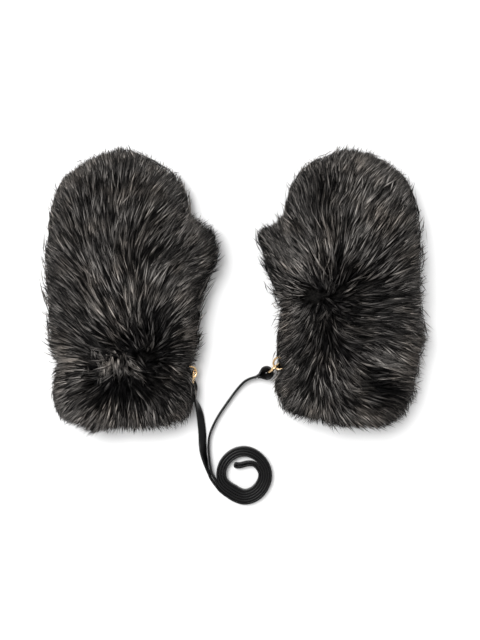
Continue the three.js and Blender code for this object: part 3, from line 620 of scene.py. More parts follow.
def d_ring(side):
    """The D-ring: a straight bar and a round bow, drooping from its bar. The bow's reach follows the
    cosine of the turn to a power under one."""
    turn = np.linspace(0, 2 * math.pi, 96, endpoint=False)
    out = np.maximum(0, np.cos(turn)) ** D_SQUARE * D_REACH
    way = np.where(np.cos(turn) > 0, np.sin(turn), np.sin(turn) ** 3) * D_HALF
    path = np.stack([out, way, np.zeros_like(out)], axis=-1)
    keep = np.linalg.norm(np.roll(path, -1, axis=0) - path, axis=1) > 0.05
    points, faces = wire_ring(path[keep], (0.0, 0.0, 1.0), WIRE, WIRE_SIDES)
    points = at_bar(side, dipped(points, D_DROOP))
    placed(side, side + "_d_ring", points, faces, GOLD, "gold", side + "_ring")


def snap_ring(side):
    """The snap ring on edge, with the barrel of its gate on top: a tube with a collar at each end and a
    little thumb pin."""
    clip = CLIPS[side]
    turn = np.linspace(0, 2 * math.pi, 72, endpoint=False)
    circle = np.stack([np.cos(turn), np.zeros_like(turn), np.sin(turn)], axis=-1) * SNAP_RADIUS
    ring = wire_ring(circle, (0.0, 1.0, 0.0), WIRE, WIRE_SIDES)
    half, r = BARREL_LENGTH / 2, BARREL_RADIUS
    profile = [
        (-half, 0.8), (-half, r - 0.25), (-half + 0.25, r), (-half + 0.9, r), (-half + 1.1, r - 0.25),
        (half - 1.1, r - 0.25), (half - 0.9, r), (half - 0.25, r), (half, r - 0.25), (half, 0.8),
    ]
    barrel = spun(profile, 24)
    barrel = (barrel[0] + [0, 0, SNAP_RADIUS], barrel[1])
    pin_points, pin_faces = spun([(0, 0.25), (0, 0.5), (1.9, 0.5), (2.15, 0.3)], 12)
    pin_points = pin_points[:, [1, 2, 0]]
    pin = (pin_points + [0.6, 0, SNAP_RADIUS + 0.9], facing_out(pin_points, pin_faces))
    points, faces = put_together(ring, barrel, pin)
    points = turned(points, clip["snap_turn"]) + [*clip["snap"], SNAP_HEIGHT]
    return placed(side, side + "_spring_ring", points, faces, GOLD, "gold", side + "_snap_ring")


def strap_end(side):
    """The strap's folded end: it comes from the leg, opens round the snap ring's wire as a leaf, and
    comes back beside itself, where a bar tack of thread holds it."""
    clip = CLIPS[side]
    half, layer = clip["half"] + STRAP_THICKNESS / 2, STRAP_THICKNESS / 2 + LAYER_GAP
    point, tail, lean = clip["point"], clip["tail"], clip["lean"]
    far = np.array([
        [point + 1.5, layer, 0.0],
        [point - 3.2, layer + (half - layer) * 0.55, lean * 0.7],
        [LOOP_WIDEST + 1.5, half, lean],
        [LOOP_WIDEST - 2.2, half * 0.86, lean * 0.8],
        [-LOOP_BEHIND - 0.5, half * 0.42, lean * 0.2],
    ])
    way = np.vstack([
        [[tail + 3.2, 0.0, 0.0], [tail + 1.0, 0.35, 0.0], [tail - 1.0, layer, 0.0]],
        far,
        [[-LOOP_BEHIND - 1.1, 0.0, 0.0]],
        far[::-1] * [1, -1, 1],
        [[tail, -layer, 0.0]],
    ])
    line, length = evenly_along(np.insert(way, 2, 0.0, axis=1), 0.5)
    rings = strip_along(line[:, :3], line[:, 3], strap_section)
    points, faces = capped_tube(rings)
    uv = strip_uv(faces, len(rings), len(strap_section), length, STRAP_WIDTH, strap_section)
    profile = [(-2.65, 0.3), (-2.6, 0.55), (-2.3, 0.7), (2.3, 0.7), (2.6, 0.55), (2.65, 0.3)]
    thread, tack_faces = spun(profile, 12)
    thread = thread[:, [1, 0, 2]] * [1.0, 1.0, 3.0]
    tack_faces = facing_out(thread, tack_faces)
    thread = thread + [point + 0.8, 0.0, 0.0]
    through = turned(np.array([[SNAP_RADIUS, 0.0, 0.0]]), clip["snap_turn"])[0]
    centre = through + [*clip["snap"], SNAP_HEIGHT - LOOP_BELOW]
    points = turned(dipped(points, LOOP_DIP), clip["loop_turn"]) + centre
    thread = turned(dipped(thread, LOOP_DIP), clip["loop_turn"]) + centre
    loop = placed(
        side, side + "_strap_end", points, faces, STRAP_LEATHER, "leather", side + "_strap_loop", uv=uv
    )
    return loop, placed(side, side + "_bar_tack", thread, tack_faces, CLIP_LEATHER, "leather")


def wrist_tab(side):
    """The tab: one strip of leather that leaves the side seam, goes round the D-ring's bar and comes back
    under itself."""
    eye = TAB_EYE + TAB_THICKNESS / 2
    turn = np.radians(np.linspace(TAB_FOLD, -TAB_FOLD, 25))
    bend = np.stack([np.cos(turn), np.sin(turn)], axis=-1) * eye
    stem = -TAB_STEM
    layer = TAB_THICKNESS / 2 + LAYER_GAP
    way = np.vstack([[[stem, layer], [stem * 0.6, layer]], bend, [[stem * 0.6, -layer], [stem, -layer]]])
    line = np.column_stack([way[:, 0], np.zeros(len(way)), way[:, 1]])
    line, _ = evenly_along(line, 0.4)
    ahead = unit(np.gradient(line, axis=0))
    across = np.array([0.0, 1.0, 0.0])
    face = np.cross(ahead, across)
    section = rounded_strip(TAB_WIDTH, TAB_THICKNESS, TAB_ROUND, STRAP_CORNER_POINTS)
    rings = line[:, None] + across * section[None, :, :1] + face[:, None] * section[None, :, 1:]
    points, faces = capped_tube(rings)
    placed(side, side + "_wrist_tab", at_bar(side, points), faces, CLIP_LEATHER, "leather", side + "_tab")


SIDES = ("left", "right")
for clip_side in SIDES:
    wrist_tab(clip_side)
    d_ring(clip_side)
    snap_ring(clip_side)
    strap_end(clip_side)

# The hand and thumb bags: hide with dense, dark underfur outside and a smooth lining inside, open at the
# wrist. The hand is one bag with the thumb's bag sewn into its side.
# The fur's outline: place along, reach on the outer side, reach on the thumb's side, height of the crown.
OUTLINES = {
    "left": np.array([
        [20, 58, 68, 47], [34, 67, 72, 52], [50, 68, 73, 54], [70, 68, 77, 52], [94, 74, 81, 56],
        [122, 73, 79, 61], [150, 75, 75, 64], [180, 75, 71, 65], [210, 71, 70, 63], [234, 66, 66, 58],
        [250, 59, 61, 52], [262, 50, 51, 46], [272, 37, 36, 40], [280, 19, 19, 33], [285, 3, 3, 26],
    ], dtype=float),
    "right": np.array([
        [20, 54, 64, 47], [32, 63, 75, 52], [48, 65, 78, 54], [70, 69, 77, 53], [92, 75, 77, 56],
        [120, 70, 73, 61], [148, 70, 71, 64], [176, 69, 70, 65], [206, 66, 68, 63], [230, 61, 65, 58],
        [246, 55, 60, 52], [258, 47, 52, 46], [268, 34, 42, 40], [276, 18, 22, 33], [281, 2, 8, 26],
    ], dtype=float),
}
# The section: its power, the height of its widest place as a share of the crown, and the palm's bulge
# before the table presses it flat.
ROUNDNESS, WAIST_SHARE, PALM_BULGE, PALM_AT_LEAST = 2.4, 0.42, 1.25, 0.6
# How deep the underfur lies under the outline on the back and on the palm, and the lining's distances
# from the outline at the sides and at the crown, and from the table.
UNDERFUR_DEPTH, PALM_DEPTH = 12.0, 3.0
HIDE_TO_TIP, CROWN_TO_HOLLOW, PALM_TO_HOLLOW = 22.0, 20.0, 9.0
# The points round the hand and the thumb, the lip's place along, and the height of the hand's middle.
HAND_AROUND, THUMB_AROUND, LIP_AT, HAND_MIDDLE = 110, 64, 13.0, 26.0
# The underfur's swell: its size on the hand and on the thumb, and its waves for each millimetre.
HAND_SWELL, THUMB_SWELL, SWELL_WAVES = 1.6, 1.2, (0.25, 0.6)
# The thumb: the start of its line, its slant in degrees, and rows of place along it, half width and half
# height. Then the place of its tip, and how deep its underfur lies.
THUMB_AT = np.array([52.0, 112.0, 25.0])
THUMB_TURN = 17.0
THUMB_ROWS = np.array([
    [-12, 20, 19], [20, 21, 20], [52, 21, 20], [76, 19, 18], [90, 14, 13], [98, 4, 4],
], dtype=float)
THUMB_TIP, THUMB_UNDERFUR_DEPTH = 100.0, 8.5


def power(value, exponent):
    """The value's size to a power, with its own sign."""
    return np.sign(value) * np.abs(value) ** exponent


def hand_point(side, along, angle, inset):
    """A point of the hand at a place along it and an angle round it, 0 at the thumb side and a quarter
    turn at the crown, a depth under the fur's outline. The section is a rounded square that is pressed
    flat where it rests."""
    outer, thumb, crown = np.moveaxis(curve_through(OUTLINES[side], along), -1, 0)
    half = np.maximum(0.5, (outer + thumb) / 2 - inset)
    waist = (crown - inset) * WAIST_SHARE
    height = np.where(np.sin(angle) > 0, crown - inset - waist, waist * PALM_BULGE)
    u = (thumb - outer) / 2 + half * power(np.cos(angle), 2 / ROUNDNESS)
    z = waist + height * power(np.sin(angle), 2 / ROUNDNESS)
    return np.stack([u, np.broadcast_to(along, u.shape), np.maximum(z, PALM_AT_LEAST)], axis=-1)


def hollow_point(side, along, angle):
    """A point of the hand's hollow at a place along it and an angle round it."""
    outer, thumb, crown = np.moveaxis(curve_through(OUTLINES[side], along), -1, 0)
    top = crown - CROWN_TO_HOLLOW
    half = np.maximum(0.5, (outer + thumb) / 2 - HIDE_TO_TIP)
    u = (thumb - outer) / 2 + half * power(np.cos(angle), 2 / ROUNDNESS)
    z = (top + PALM_TO_HOLLOW) / 2 + (top - PALM_TO_HOLLOW) / 2 * power(np.sin(angle), 2 / ROUNDNESS)
    return np.stack([u, np.broadcast_to(along, u.shape), z], axis=-1)


def ripple(points, seed, size, waves):
    """A soft, uneven ripple: the sum of a few waves that run in random ways, from -size to size."""
    draw = np.random.default_rng(seed)
    ways = unit(draw.normal(size=(12, 3))) * draw.uniform(*waves, size=(12, 1))
    phase = draw.uniform(0, 2 * math.pi, 12)
    return np.sin(points @ ways.T + phase).mean(axis=-1) * size * 2


def on_back(angle):
    """How much an angle round the hand is on its back: a multiple of its sine, kept from 0 to 1."""
    return np.clip(0.5 + 1.2 * np.sin(angle), 0, 1)


def hand_bag(side):
    """The hand: from the inside of the fingertips along the lining to the wrist, round the lip, and along
    the underfur back to the fingertips."""
    turn = np.linspace(0, 2 * math.pi, HAND_AROUND, endpoint=False)[None, :]
    last = OUTLINES[side][-1, 0]
    inner = np.concatenate([[246, 240], np.arange(230, 24, -8.0), [20, 16]])[:, None]
    rounding = last - 14 * np.cos(np.linspace(0.5, 1.45, 8))
    outer = np.concatenate([np.arange(15.0, 258, 3.6), rounding])[:, None]
    lining = hollow_point(side, inner, turn)
    depth = PALM_DEPTH + (UNDERFUR_DEPTH - PALM_DEPTH) * on_back(turn)
    coat = hand_point(side, outer, turn, depth)
    coat[..., 1] = np.minimum(coat[..., 1], last - UNDERFUR_DEPTH + 4)
    lip = (hollow_point(side, inner[-1:], turn) + hand_point(side, outer[:1], turn, depth)) / 2
    lip[..., 1] = LIP_AT
    swell = ripple(coat, 11, HAND_SWELL, SWELL_WAVES)
    middle = np.array([coat[..., 0].mean(), 0.0, HAND_MIDDLE])
    outwards = unit((coat - middle) * [1, 0, 1])
    coat = coat + outwards * swell[..., None] * (coat[..., 2:] > 1.0)
    return capped_tube(np.concatenate([lining, lip, coat]))


def thumb_point(along, angle, inset):
    """A point of the thumb at a place along its own slanted line and an angle round it."""
    half, rise = np.moveaxis(curve_through(THUMB_ROWS, along), -1, 0)
    aside = np.maximum(0.3, half - inset) * np.cos(angle)
    up = np.maximum(0.3, rise - inset) * np.sin(angle)
    ahead = np.broadcast_to(np.minimum(along, THUMB_TIP), aside.shape)
    return from_thumb(np.stack([aside, ahead, up], axis=-1))


def from_thumb(local):
    """Points or ways of the thumb's slanted frame in the mitten's plan."""
    turn = math.radians(THUMB_TURN)
    u = local[..., 0] * math.cos(turn) + local[..., 1] * math.sin(turn)
    along = -local[..., 0] * math.sin(turn) + local[..., 1] * math.cos(turn)
    return np.stack([u, along, local[..., 2]], axis=-1) + THUMB_AT


def thumb_bag():
    """The thumb's underfur, from inside the hand to its tip."""
    rounding = 74 + 16 * np.sin(np.linspace(0.1, 1.5, 8))
    along = np.concatenate([np.arange(-6.0, 74, 2.6), rounding])[:, None]
    angle = np.linspace(0, 2 * math.pi, THUMB_AROUND, endpoint=False)[None, :]
    coat = thumb_point(along, angle, THUMB_UNDERFUR_DEPTH)
    coat[..., 2] += ripple(coat, 17, THUMB_SWELL, SWELL_WAVES)
    return capped_tube(coat)


def underfur():
    """Dense underfur seen between the hairs: nearly black, matt, with a woolly surface."""
    material, tree, shader = new_material("underfur", (0.006, 0.0055, 0.005), 0.95, Specular_IOR_Level=0.05)
    place = node(tree, "ShaderNodeTexCoord").outputs["Object"]
    wool = node(tree, "ShaderNodeTexNoise", Vector=place, Scale=520.0, Detail=6.0).outputs["Fac"]
    colour = colour_ramp(tree, wool, (0.35, (0.003, 0.003, 0.003)), (0.75, (0.014, 0.013, 0.012)))
    bump = node(tree, "ShaderNodeBump", Strength=0.9, Distance=0.0015, Height=wool)
    tree.links.new(colour, shader.inputs["Base Color"])
    tree.links.new(bump.outputs["Normal"], shader.inputs["Normal"])
    return material


UNDERFUR = underfur()
for bag_side in SIDES:
    placed(bag_side, bag_side + "_hand_bag", *hand_bag(bag_side), UNDERFUR, "fur", bag_side + "_hand_fur")
    placed(bag_side, bag_side + "_thumb_bag", *thumb_bag(), UNDERFUR, "fur", bag_side + "_thumb_fur")

# The labels: plain strips of dark leather with rounded corners and soft edges, one sewn flat to the back
# of each cuff, deep in the fur. Nothing is on them.
LABEL_WIDTH, LABEL_LENGTH, LABEL_THICKNESS, LABEL_DEPTH = 21.0, 34.0, 1.2, 13.0
LABEL_CORNER, LABEL_EDGE, LABEL_ABOVE = 2.0, 0.3, 0.3
LABEL_PLACES = {"left": (-13.0, 53.0), "right": (-31.0, 47.0)}
LABEL_DARK, LABEL_LIGHT = (0.0012, 0.0012, 0.0015), (0.0028, 0.0028, 0.0032)
LABEL_LEATHER = leather("label leather", LABEL_DARK, LABEL_LIGHT, 0.7, 0.4, False)


def label(side):
    """The label: a thin plate with rounded corners and a soft edge, its outline a rounded rectangle."""
    u, along = LABEL_PLACES[side]
    crown = curve_through(OUTLINES[side], np.array([along]))[0, 2]
    inside = (LABEL_LENGTH - 2 * LABEL_EDGE, LABEL_WIDTH - 2 * LABEL_EDGE, LABEL_CORNER - LABEL_EDGE)
    outline = rounded_strip(LABEL_LENGTH, LABEL_WIDTH, LABEL_CORNER, 8)[:, ::-1]
    inner = rounded_strip(*inside, 8)[:, ::-1]
    low = crown - LABEL_DEPTH + LABEL_ABOVE
    high = low + LABEL_THICKNESS
    heights = [(inner, low), (outline, low + 0.25), (outline, high - 0.25), (inner, high)]
    rings = np.stack([np.column_stack([flat, np.full(len(flat), z)]) for flat, z in heights])
    points, faces = capped_tube(rings + [u, along, 0])
    placed(side, side + "_label_strip", points, faces, LABEL_LEATHER, "leather", side + "_label")


for label_side in SIDES:
    label(label_side)

# The fur: long guard hairs that grow from the hide in narrow wisps, lie along the way that the pelt was
# combed, and end in fine points at the fur's outline. Near-black at the root, taupe grey towards the
# tip. Each hair is a slim spindle of four triangles with a slight bow.
# The lie of the hair: the places u of the columns, and then rows of place along and the headings there,
# in degrees from the fingertips' direction towards the thumb.
LIE_ACROSS = {
    "left": np.array([-50.0, -22.0, 6.0, 34.0, 62.0, 88.0]),
    "right": np.array([-53.0, -25.0, 3.0, 31.0, 59.0, 86.0]),
}
LIE = {
    "left": np.array([
        [12, -140, -140, 175, 168, 160, 150],
        [34, -140, -131, 178, 158, 150, 140],
        [50, -128, -106, -169, 130, 139, 130],
        [66, -108, -66, -168, 128, 112, 110],
        [82, -78, -50, -51, 20, 78, 90],
        [98, -58, -48, -29, -3, 60, 80],
        [130, -42, -26, -27, 20, 47, 75],
        [162, -39, -16, -20, 28, 66, 66],
        [194, -32, -15, -1, 31, 44, 47],
        [226, -41, -13, 3, 23, 36, 45],
        [258, -40, -19, -4, 26, 38, 45],
        [280, -40, -20, -2, 26, 42, 45],
    ], dtype=float),
    "right": np.array([
        [14, -130, -133, -140, -160, 150, 140],
        [30, -116, -108, -119, -171, 143, 135],
        [46, -98, -86, -110, -158, 132, 130],
        [62, -104, -90, -139, 178, 134, 125],
        [78, -104, -112, -116, 162, 126, 120],
        [94, -99, -90, -84, 176, 131, 110],
        [110, -100, -87, -80, -178, 135, 90],
        [126, -84, -78, -85, -150, 112, 70],
        [142, -84, -75, -65, 5, 62, 56],
        [158, -70, -44, -45, 2, 34, 44],
        [190, -37, -32, -28, 4, 37, 36],
        [222, -40, -29, -21, -14, 24, 36],
        [254, -40, -35, -30, 2, 34, 36],
        [276, -40, -34, -20, 8, 36, 36],
    ], dtype=float),
}
# Where the hair parts and stands in all ways: u, along and how far that reaches.
WHORLS = {"left": (19.0, 76.0, 18.0), "right": (29.0, 131.0, 14.0)}
# Patches of paler tips, or of darker ones where the last value is negative: u, along, reach and by how
# much.
PATCHES = {
    "left": [
        (-10.0, 66.0, 13.0, 0.14), (20.0, 60.0, 8.0, 0.1), (-42.0, 54.0, 9.0, 0.2),
        (-64.0, 76.0, 11.0, 0.14), (-22.0, 170.0, 26.0, 0.06), (70.0, 150.0, 10.0, 0.16),
        (-57.0, 50.0, 7.0, -0.2), (-10.0, 42.0, 11.0, -0.25), (26.0, 77.0, 12.0, -0.2),
        (46.0, 124.0, 16.0, -0.16), (8.0, 44.0, 11.0, -0.26), (34.0, 50.0, 12.0, -0.26),
        (-64.0, 136.0, 16.0, -0.14), (-44.0, 112.0, 14.0, -0.1), (70.0, 176.0, 12.0, -0.1),
    ],
    "right": [
        (-14.0, 62.0, 10.0, 0.2), (-50.0, 64.0, 15.0, 0.26), (-15.0, 225.0, 34.0, 0.08),
        (58.0, 170.0, 9.0, 0.2), (36.0, 55.0, 10.0, 0.12), (30.0, 131.0, 13.0, -0.24),
        (52.0, 137.0, 11.0, -0.24), (14.0, 112.0, 13.0, -0.1), (38.0, 258.0, 14.0, -0.12),
        (-45.0, 34.0, 15.0, -0.4), (-24.0, 44.0, 9.0, -0.3), (52.0, 92.0, 12.0, -0.1),
    ],
}
# Short pale tufts that fall across the coat: u, along and reach of their roots, and their heading.
TUFTS = {
    "left": np.array([
        [-20.0, 84.0, 8.0, 164.0], [-4.0, 82.0, 8.0, 176.0],
        [10.0, 73.0, 7.0, 128.0], [-40.0, 62.0, 7.0, -150.0],
    ]),
    "right": np.array([[24.0, 74.0, 8.0, -140.0]]),
}
# The share of the wisps there that belong to a tuft, their lengths, depths, and the spread of their ways;
# and the mean and spread of their tones.
TUFT_SHARE, TUFT_LENGTHS, TUFT_DEPTHS, TUFT_SPREAD = 0.5, (18.0, 29.0), (-0.5, 2.5), 0.25
TUFT_TONES = (0.64, 0.1)
# The strip of each label that the hair leaves nearly bare: u, along and the half sizes; then the share of
# the wisps over it that stay, and how much darker they are.
BARE_LABEL = {"left": (-22.5, 57.0, 3.0, 11.0), "right": (-25.0, 51.0, 4.0, 13.0)}
STAY_ON_LABEL, DARKER_ON_LABEL = 0.2, 0.15
# The fur's lower edge, from the outer side to the thumb's: u and along.
LOWER_EDGE = {
    "left": [
        [-68.0, 34.0], [-64.0, 21.0], [-52.0, 14.0], [-40.0, 10.0], [-28.0, 2.0], [-16.0, 4.0],
        [8.0, 4.0], [32.0, 6.0], [46.0, 8.0], [57.0, 12.0], [68.0, 22.0],
    ],
    "right": [
        [-62.0, 36.0], [-54.0, 20.0], [-41.0, 10.0], [-29.0, 4.0], [-5.0, 3.0], [7.0, 4.0],
        [19.0, 4.0], [31.0, 7.0], [43.0, 11.0], [55.0, 15.0], [67.0, 22.0],
    ],
}
# The thumb's outline in the plan, from the crotch round the tip to the wrist's side and back inside.
THUMB_EDGE = {
    "left": np.array([
        [71, 222], [80, 216], [88, 212], [93, 207], [97, 198], [100, 186], [99, 176], [97, 168],
        [92, 160], [88, 152], [84, 144], [81, 132], [79, 114], [60, 108], [48, 150], [58, 205],
    ], dtype=float),
    "right": np.array([
        [69, 218], [77, 210], [84, 208], [91, 205], [96, 199], [97, 193], [95, 187], [92, 181],
        [91, 168], [87, 158], [83, 148], [79, 136], [74, 122], [56, 108], [48, 150], [56, 200],
    ], dtype=float),
}
# The thumb's hair stands off its bag: place along it, half width and half height.
THUMB_COAT = np.array([
    [-12, 20, 19], [20, 22, 20], [52, 25, 21], [76, 26, 19], [92, 21, 15], [102, 13, 10], [108, 4, 4],
], dtype=float)
# How much darker each hand's and each thumb's hair is than the kinds below, how strongly a thumb's tones
# are spread and about which; and the painted light near the outline: how much paler, and how far in.
HAND_DARKER, THUMB_DARKER = {"left": 0.035, "right": 0.07}, 0.12
THUMB_CONTRAST, THUMB_MIDDLE_TONE = 1.9, 0.45
RIM_PAINTED_LIGHT, RIM_REACH = 0.17, 8.0
# The tones that the hair's colour is stepped in, the spread among a wisp's hairs, and the soft change of
# tone over the coat with its waves for each millimetre.
TONES, HAIR_TONE_SPREAD = 48, 0.08
COAT_TONES, BROAD_WAVES, NARROW_WAVES = 0.14, (0.04, 0.12), (0.2, 0.45)
WISPS_HAND, WISPS_THUMB, HAIRS_PER_WISP, WISP_STEPS = 22500, 3600, 5, 5
# Where the wisps are rooted: how deep, how much deeper on the back, and how far short of the fingertips;
# and on the thumb: places along, angles, and depths.
ROOT_DEPTH, ROOT_DEEPER, ROOTS_END = 3.5, (7.5, 11.0), 12.0
THUMB_ROOTS_ALONG, THUMB_ROOTS_ROUND, THUMB_ROOT_DEPTHS = (4, 92), (-0.9, math.pi + 0.4), (8, 10.5)
# The wisps' lengths and how far they swerve from the lie: broadly, narrowly, each by itself, a thumb's.
HAND_LENGTHS, THUMB_LENGTHS = (34, 52), (28, 42)
BROAD_SWERVE, NARROW_SWERVE, OWN_SWERVE, THUMB_SWERVE = 0.22, 0.28, 0.1, 0.16
# In a whorl: how far the wisps swerve, how much shorter they are, and how much darker.
WHORL_SWERVE, WHORL_SHORTER, WHORL_DARKER = 0.6, 0.45, 0.12
# How much a wisp keeps to the fur's surface, how much its way droops, and the share of its length by
# which it has risen to its own depth under the outline. Its steepest ways down and up are shares of its
# length.
FOLLOWS_SHAPE, DROOP, RISEN_BY, STEEPEST = 0.6, 0.2, 0.34, (-0.4, 0.8)
# Where a hair's seen part starts along its wisp, where in it the hair is widest, how much of the wisp it
# may take, and the least.
HAIR_FIRST, HAIR_MIDDLE, HAIR_REACH, SHORTEST = (0.12, 0.42), 0.42, (0.8, 1.0), 0.16
# The hairs' width and its spread, a loose hair's width, the height of the spindle's ridge and most bow.
HAIR_WIDTH, WIDTH_SPREAD, LOOSE_WIDTH, RIDGE, MOST_BOW = 0.72, (0.7, 1.25), 0.6, 0.7, 0.8
# How far a hair's root lies back or up from its place, how far the hair bends aside, how much further a
# stray or loose one does, the share that is stray, and how far a wisp draws together.
ROOT_BACK, ROOT_UP, BEND, STRAY_BEND, LOOSE_BEND = 2.5, 0.6, 0.5, 4.0, 2.0
STRAY_SHARE, DRAWN_TOGETHER = 0.06, (0.3, 0.8)
# The wisps' kinds: the share of each, the mean and spread of its tone, how deep it lies at least, how
# much deeper on average, and how wide apart its hairs grow. Deep ones get painted shade, darker for each
# millimetre.
WISP_KINDS = np.array([
    [0.66, 0.29, 0.11, 0.4, 2.2, 0.75],
    [0.24, 0.58, 0.07, -0.6, 1.3, 0.4],
    [0.10, 0.73, 0.07, -1.6, 1.1, 0.3],
])
DEPTH_PAINTED_SHADE = 0.03
# Near the outline this share of the wisps stands off the coat and makes its soft fringe: how near, then
# their depth and how much further out on average and at most, their tones, hold and width.
LOOSE_SHARE, LOOSE_FROM, LOOSE_WITHIN, LOOSE_ON_THUMB = 0.24, 1.2, 34.0, 0.7
LOOSE_DEPTH, LOOSE_OUT, MOST_OUT = 1.0, 3.4, -8.0
LOOSE_TONES, LOOSE_FOLLOWS, LOOSE_APART = (0.62, 0.12), 0.3, 3.0
# How far the coat's hairs end past the outline: mean, spread, and how much further at the hem and at the
# fingertips, and where those start and over what length; and the loose ones: least, how much further on
# average, and most.
COAT_ENDS = (-6.3, 3.3, 5.5, 2.5)
HEM_FROM, FINGERTIPS_FROM, ENDS_OVER = 34.0, 225.0, 20.0
LOOSE_ENDS = (-4.0, 2.4, 8.0)
# How far a hair's middle or tip may at last stand past its own end.
MAY_PASS = 0.7
# The share of the wisps that grow under the palm, and the angle's sine that counts as under it.
PALM_SHARE, PALM_BELOW = 0.3, -0.55
# Hair above this height keeps off the clip's ring, a distance that stands for no ring near, how near the
# ring hair ends short, and how far past the outline it then ends.
CLEAR_ABOVE, TOO_FAR, NEAR_RING, END_NEAR_RING = 12.0, 20.0, 24.0, -0.5
# How much the fur rounds inwards for each millimetre above the height of its widest section, and how
# high the lowest hair lies on the table.
ROUNDS_IN, WIDEST_AT, ON_TABLE = 0.22, 25.0, 0.5


def lie_of_hair(side, u, along):
    """The way that the hair points in the plan: the four entries of the lie that are nearest, as unit
    vectors, each with a weight that falls off straight with its distance."""
    rows, across = LIE[side][:, 0], LIE_ACROSS[side]
    turn = np.radians(LIE[side][:, 1:])
    i = np.clip(np.searchsorted(rows, along) - 1, 0, len(rows) - 2)
    j = np.clip(np.searchsorted(across, u) - 1, 0, len(across) - 2)
    f = np.clip((along - rows[i]) / (rows[i + 1] - rows[i]), 0, 1)
    g = np.clip((u - across[j]) / (across[j + 1] - across[j]), 0, 1)
    sine = cosine = 0.0
    nearest = ((0, 0, (1 - f) * (1 - g)), (0, 1, (1 - f) * g), (1, 0, f * (1 - g)), (1, 1, f * g))
    for down, right, weight in nearest:
        sine = sine + np.sin(turn[i + down, j + right]) * weight
        cosine = cosine + np.cos(turn[i + down, j + right]) * weight
    return np.arctan2(sine, cosine)


def hand_size(side, points):
    """How large a copy of the hand's section a point lies on, 1 on the fur's outline."""
    outer, thumb, crown = np.moveaxis(curve_through(OUTLINES[side], points[..., 1]), -1, 0)
    half = np.maximum(4.0, (outer + thumb) / 2)
    waist = crown * WAIST_SHARE
    height = np.where(points[..., 2] > waist, crown - waist, waist * PALM_BULGE)
    across = np.abs((points[..., 0] - (thumb - outer) / 2) / half)
    return (across**ROUNDNESS + np.abs((points[..., 2] - waist) / height) ** ROUNDNESS) ** (1 / ROUNDNESS)


def thumb_size(points):
    """How large a copy of the thumb's section a point lies on, 1 on its fur's outline."""
    turn = math.radians(THUMB_TURN)
    off = points - THUMB_AT
    aside = off[..., 0] * math.cos(turn) - off[..., 1] * math.sin(turn)
    ahead = off[..., 0] * math.sin(turn) + off[..., 1] * math.cos(turn)
    half, rise = np.moveaxis(curve_through(THUMB_COAT, ahead), -1, 0)
    return np.hypot(aside / np.maximum(half, 4), off[..., 2] / np.maximum(rise, 4))


def depth_and_way_out(size, points):
    """How deep each point lies under the outline, and its way out: the slope of the size, by small
    steps along each axis."""
    slope = np.stack([size(points + step) - size(points - step) for step in np.eye(3)], axis=-1) / 2
    steep = np.maximum(np.linalg.norm(slope, axis=-1), 1e-4)
    return (1 - size(points)) / steep, slope / steep[..., None]


def plan_outline(side):
    """The hand's closed outline in the plan: up the thumb's side, over the fingertips, down the outer
    side and along the lower edge."""
    rows = OUTLINES[side][2:]
    return np.vstack([
        np.column_stack([rows[:, 2], rows[:, 0]]),
        np.column_stack([-rows[:, 1], rows[:, 0]])[::-1],
        LOWER_EDGE[side],
    ])


def inside_by(outline, points):
    """How far inside a closed outline each point of the plan lies, and below nothing outside it: the
    distance to the nearest side, with the sign that an odd or even count of crossed sides gives."""
    a, b = outline, np.roll(outline, -1, axis=0)
    way = b - a
    off = points[..., None, :2] - a
    t = np.clip((off * way).sum(axis=-1) / (way**2).sum(axis=-1), 0, 1)
    distance = np.linalg.norm(off - t[..., None] * way, axis=-1).min(axis=-1)
    y = points[..., 1][..., None]
    crossed = (a[:, 1] > y) != (b[:, 1] > y)
    at = a[:, 0] + (y - a[:, 1]) * way[:, 0] / np.where(way[:, 1] == 0, 1, way[:, 1])
    odd = (crossed & (points[..., 0][..., None] < at)).sum(axis=-1) % 2 == 1
    return np.where(odd, distance, -distance)


def room_in_outline(side, points):
    """How far inside the plan of the hand or of the thumb each point lies: less by a share of the height
    above the widest section, because the fur rounds inwards there."""
    room = np.maximum(inside_by(plan_outline(side), points), inside_by(THUMB_EDGE[side], points))
    return room - ROUNDS_IN * np.maximum(points[..., 2] - WIDEST_AT, 0)


def wisp_spines(side, size, start, swerve, length, target, follows, highest, own_way=math.nan):
    """Each wisp's middle line. At each step it takes its own way if it has one, or the lie of the hair
    there, bent part of the way to the fur's surface. It rises until it is at its own depth under the
    outline, and then keeps to it."""
    points, sides, normals = [start], [], []
    for step in range(WISP_STEPS):
        here = points[-1].copy()
        heading = lie_of_hair(side, here[:, 0], here[:, 1]) + swerve
        heading = np.where(np.isnan(own_way), heading, own_way)
        here[:, 1] = np.minimum(here[:, 1], highest)
        way = np.stack([np.sin(heading), np.cos(heading), np.full_like(heading, -DROOP)], axis=-1)
        depth, normal = depth_and_way_out(size, here)
        flat = unit(way - normal * np.einsum("ij,ij->i", way, normal)[:, None])
        flat = unit(flat * follows[:, None] + way * (1 - follows)[:, None])
        still = max(RISEN_BY - step / WISP_STEPS, 1 / WISP_STEPS)
        rise = np.clip((depth - target) / (length * still), *STEEPEST)[:, None]
        ahead = unit(flat * np.sqrt(1 - rise**2) + normal * rise)
        sides.append(unit(np.cross(ahead, normal)))
        normals.append(np.cross(sides[-1], ahead))
        points.append(points[-1] + ahead * (length / WISP_STEPS)[:, None])
    sides.append(sides[-1])
    normals.append(normals[-1])
    return np.stack(points, axis=1), np.stack(sides, axis=1), np.stack(normals, axis=1)


def room_along(room, margin):
    """How much of its wisp's length each hair may take before it leaves the outline by its margin: where
    the room left at the spine's points first falls under nothing, and without end where it never does."""
    left = room[:, None, :] + margin[..., None]
    here, there = left[..., :-1], left[..., 1:]
    part = np.clip(here / np.maximum(here - there, 1e-6), 0, 1)
    crossing = np.where(there < 0, (np.arange(WISP_STEPS) + part) / WISP_STEPS, math.inf)
    return crossing.min(axis=-1)


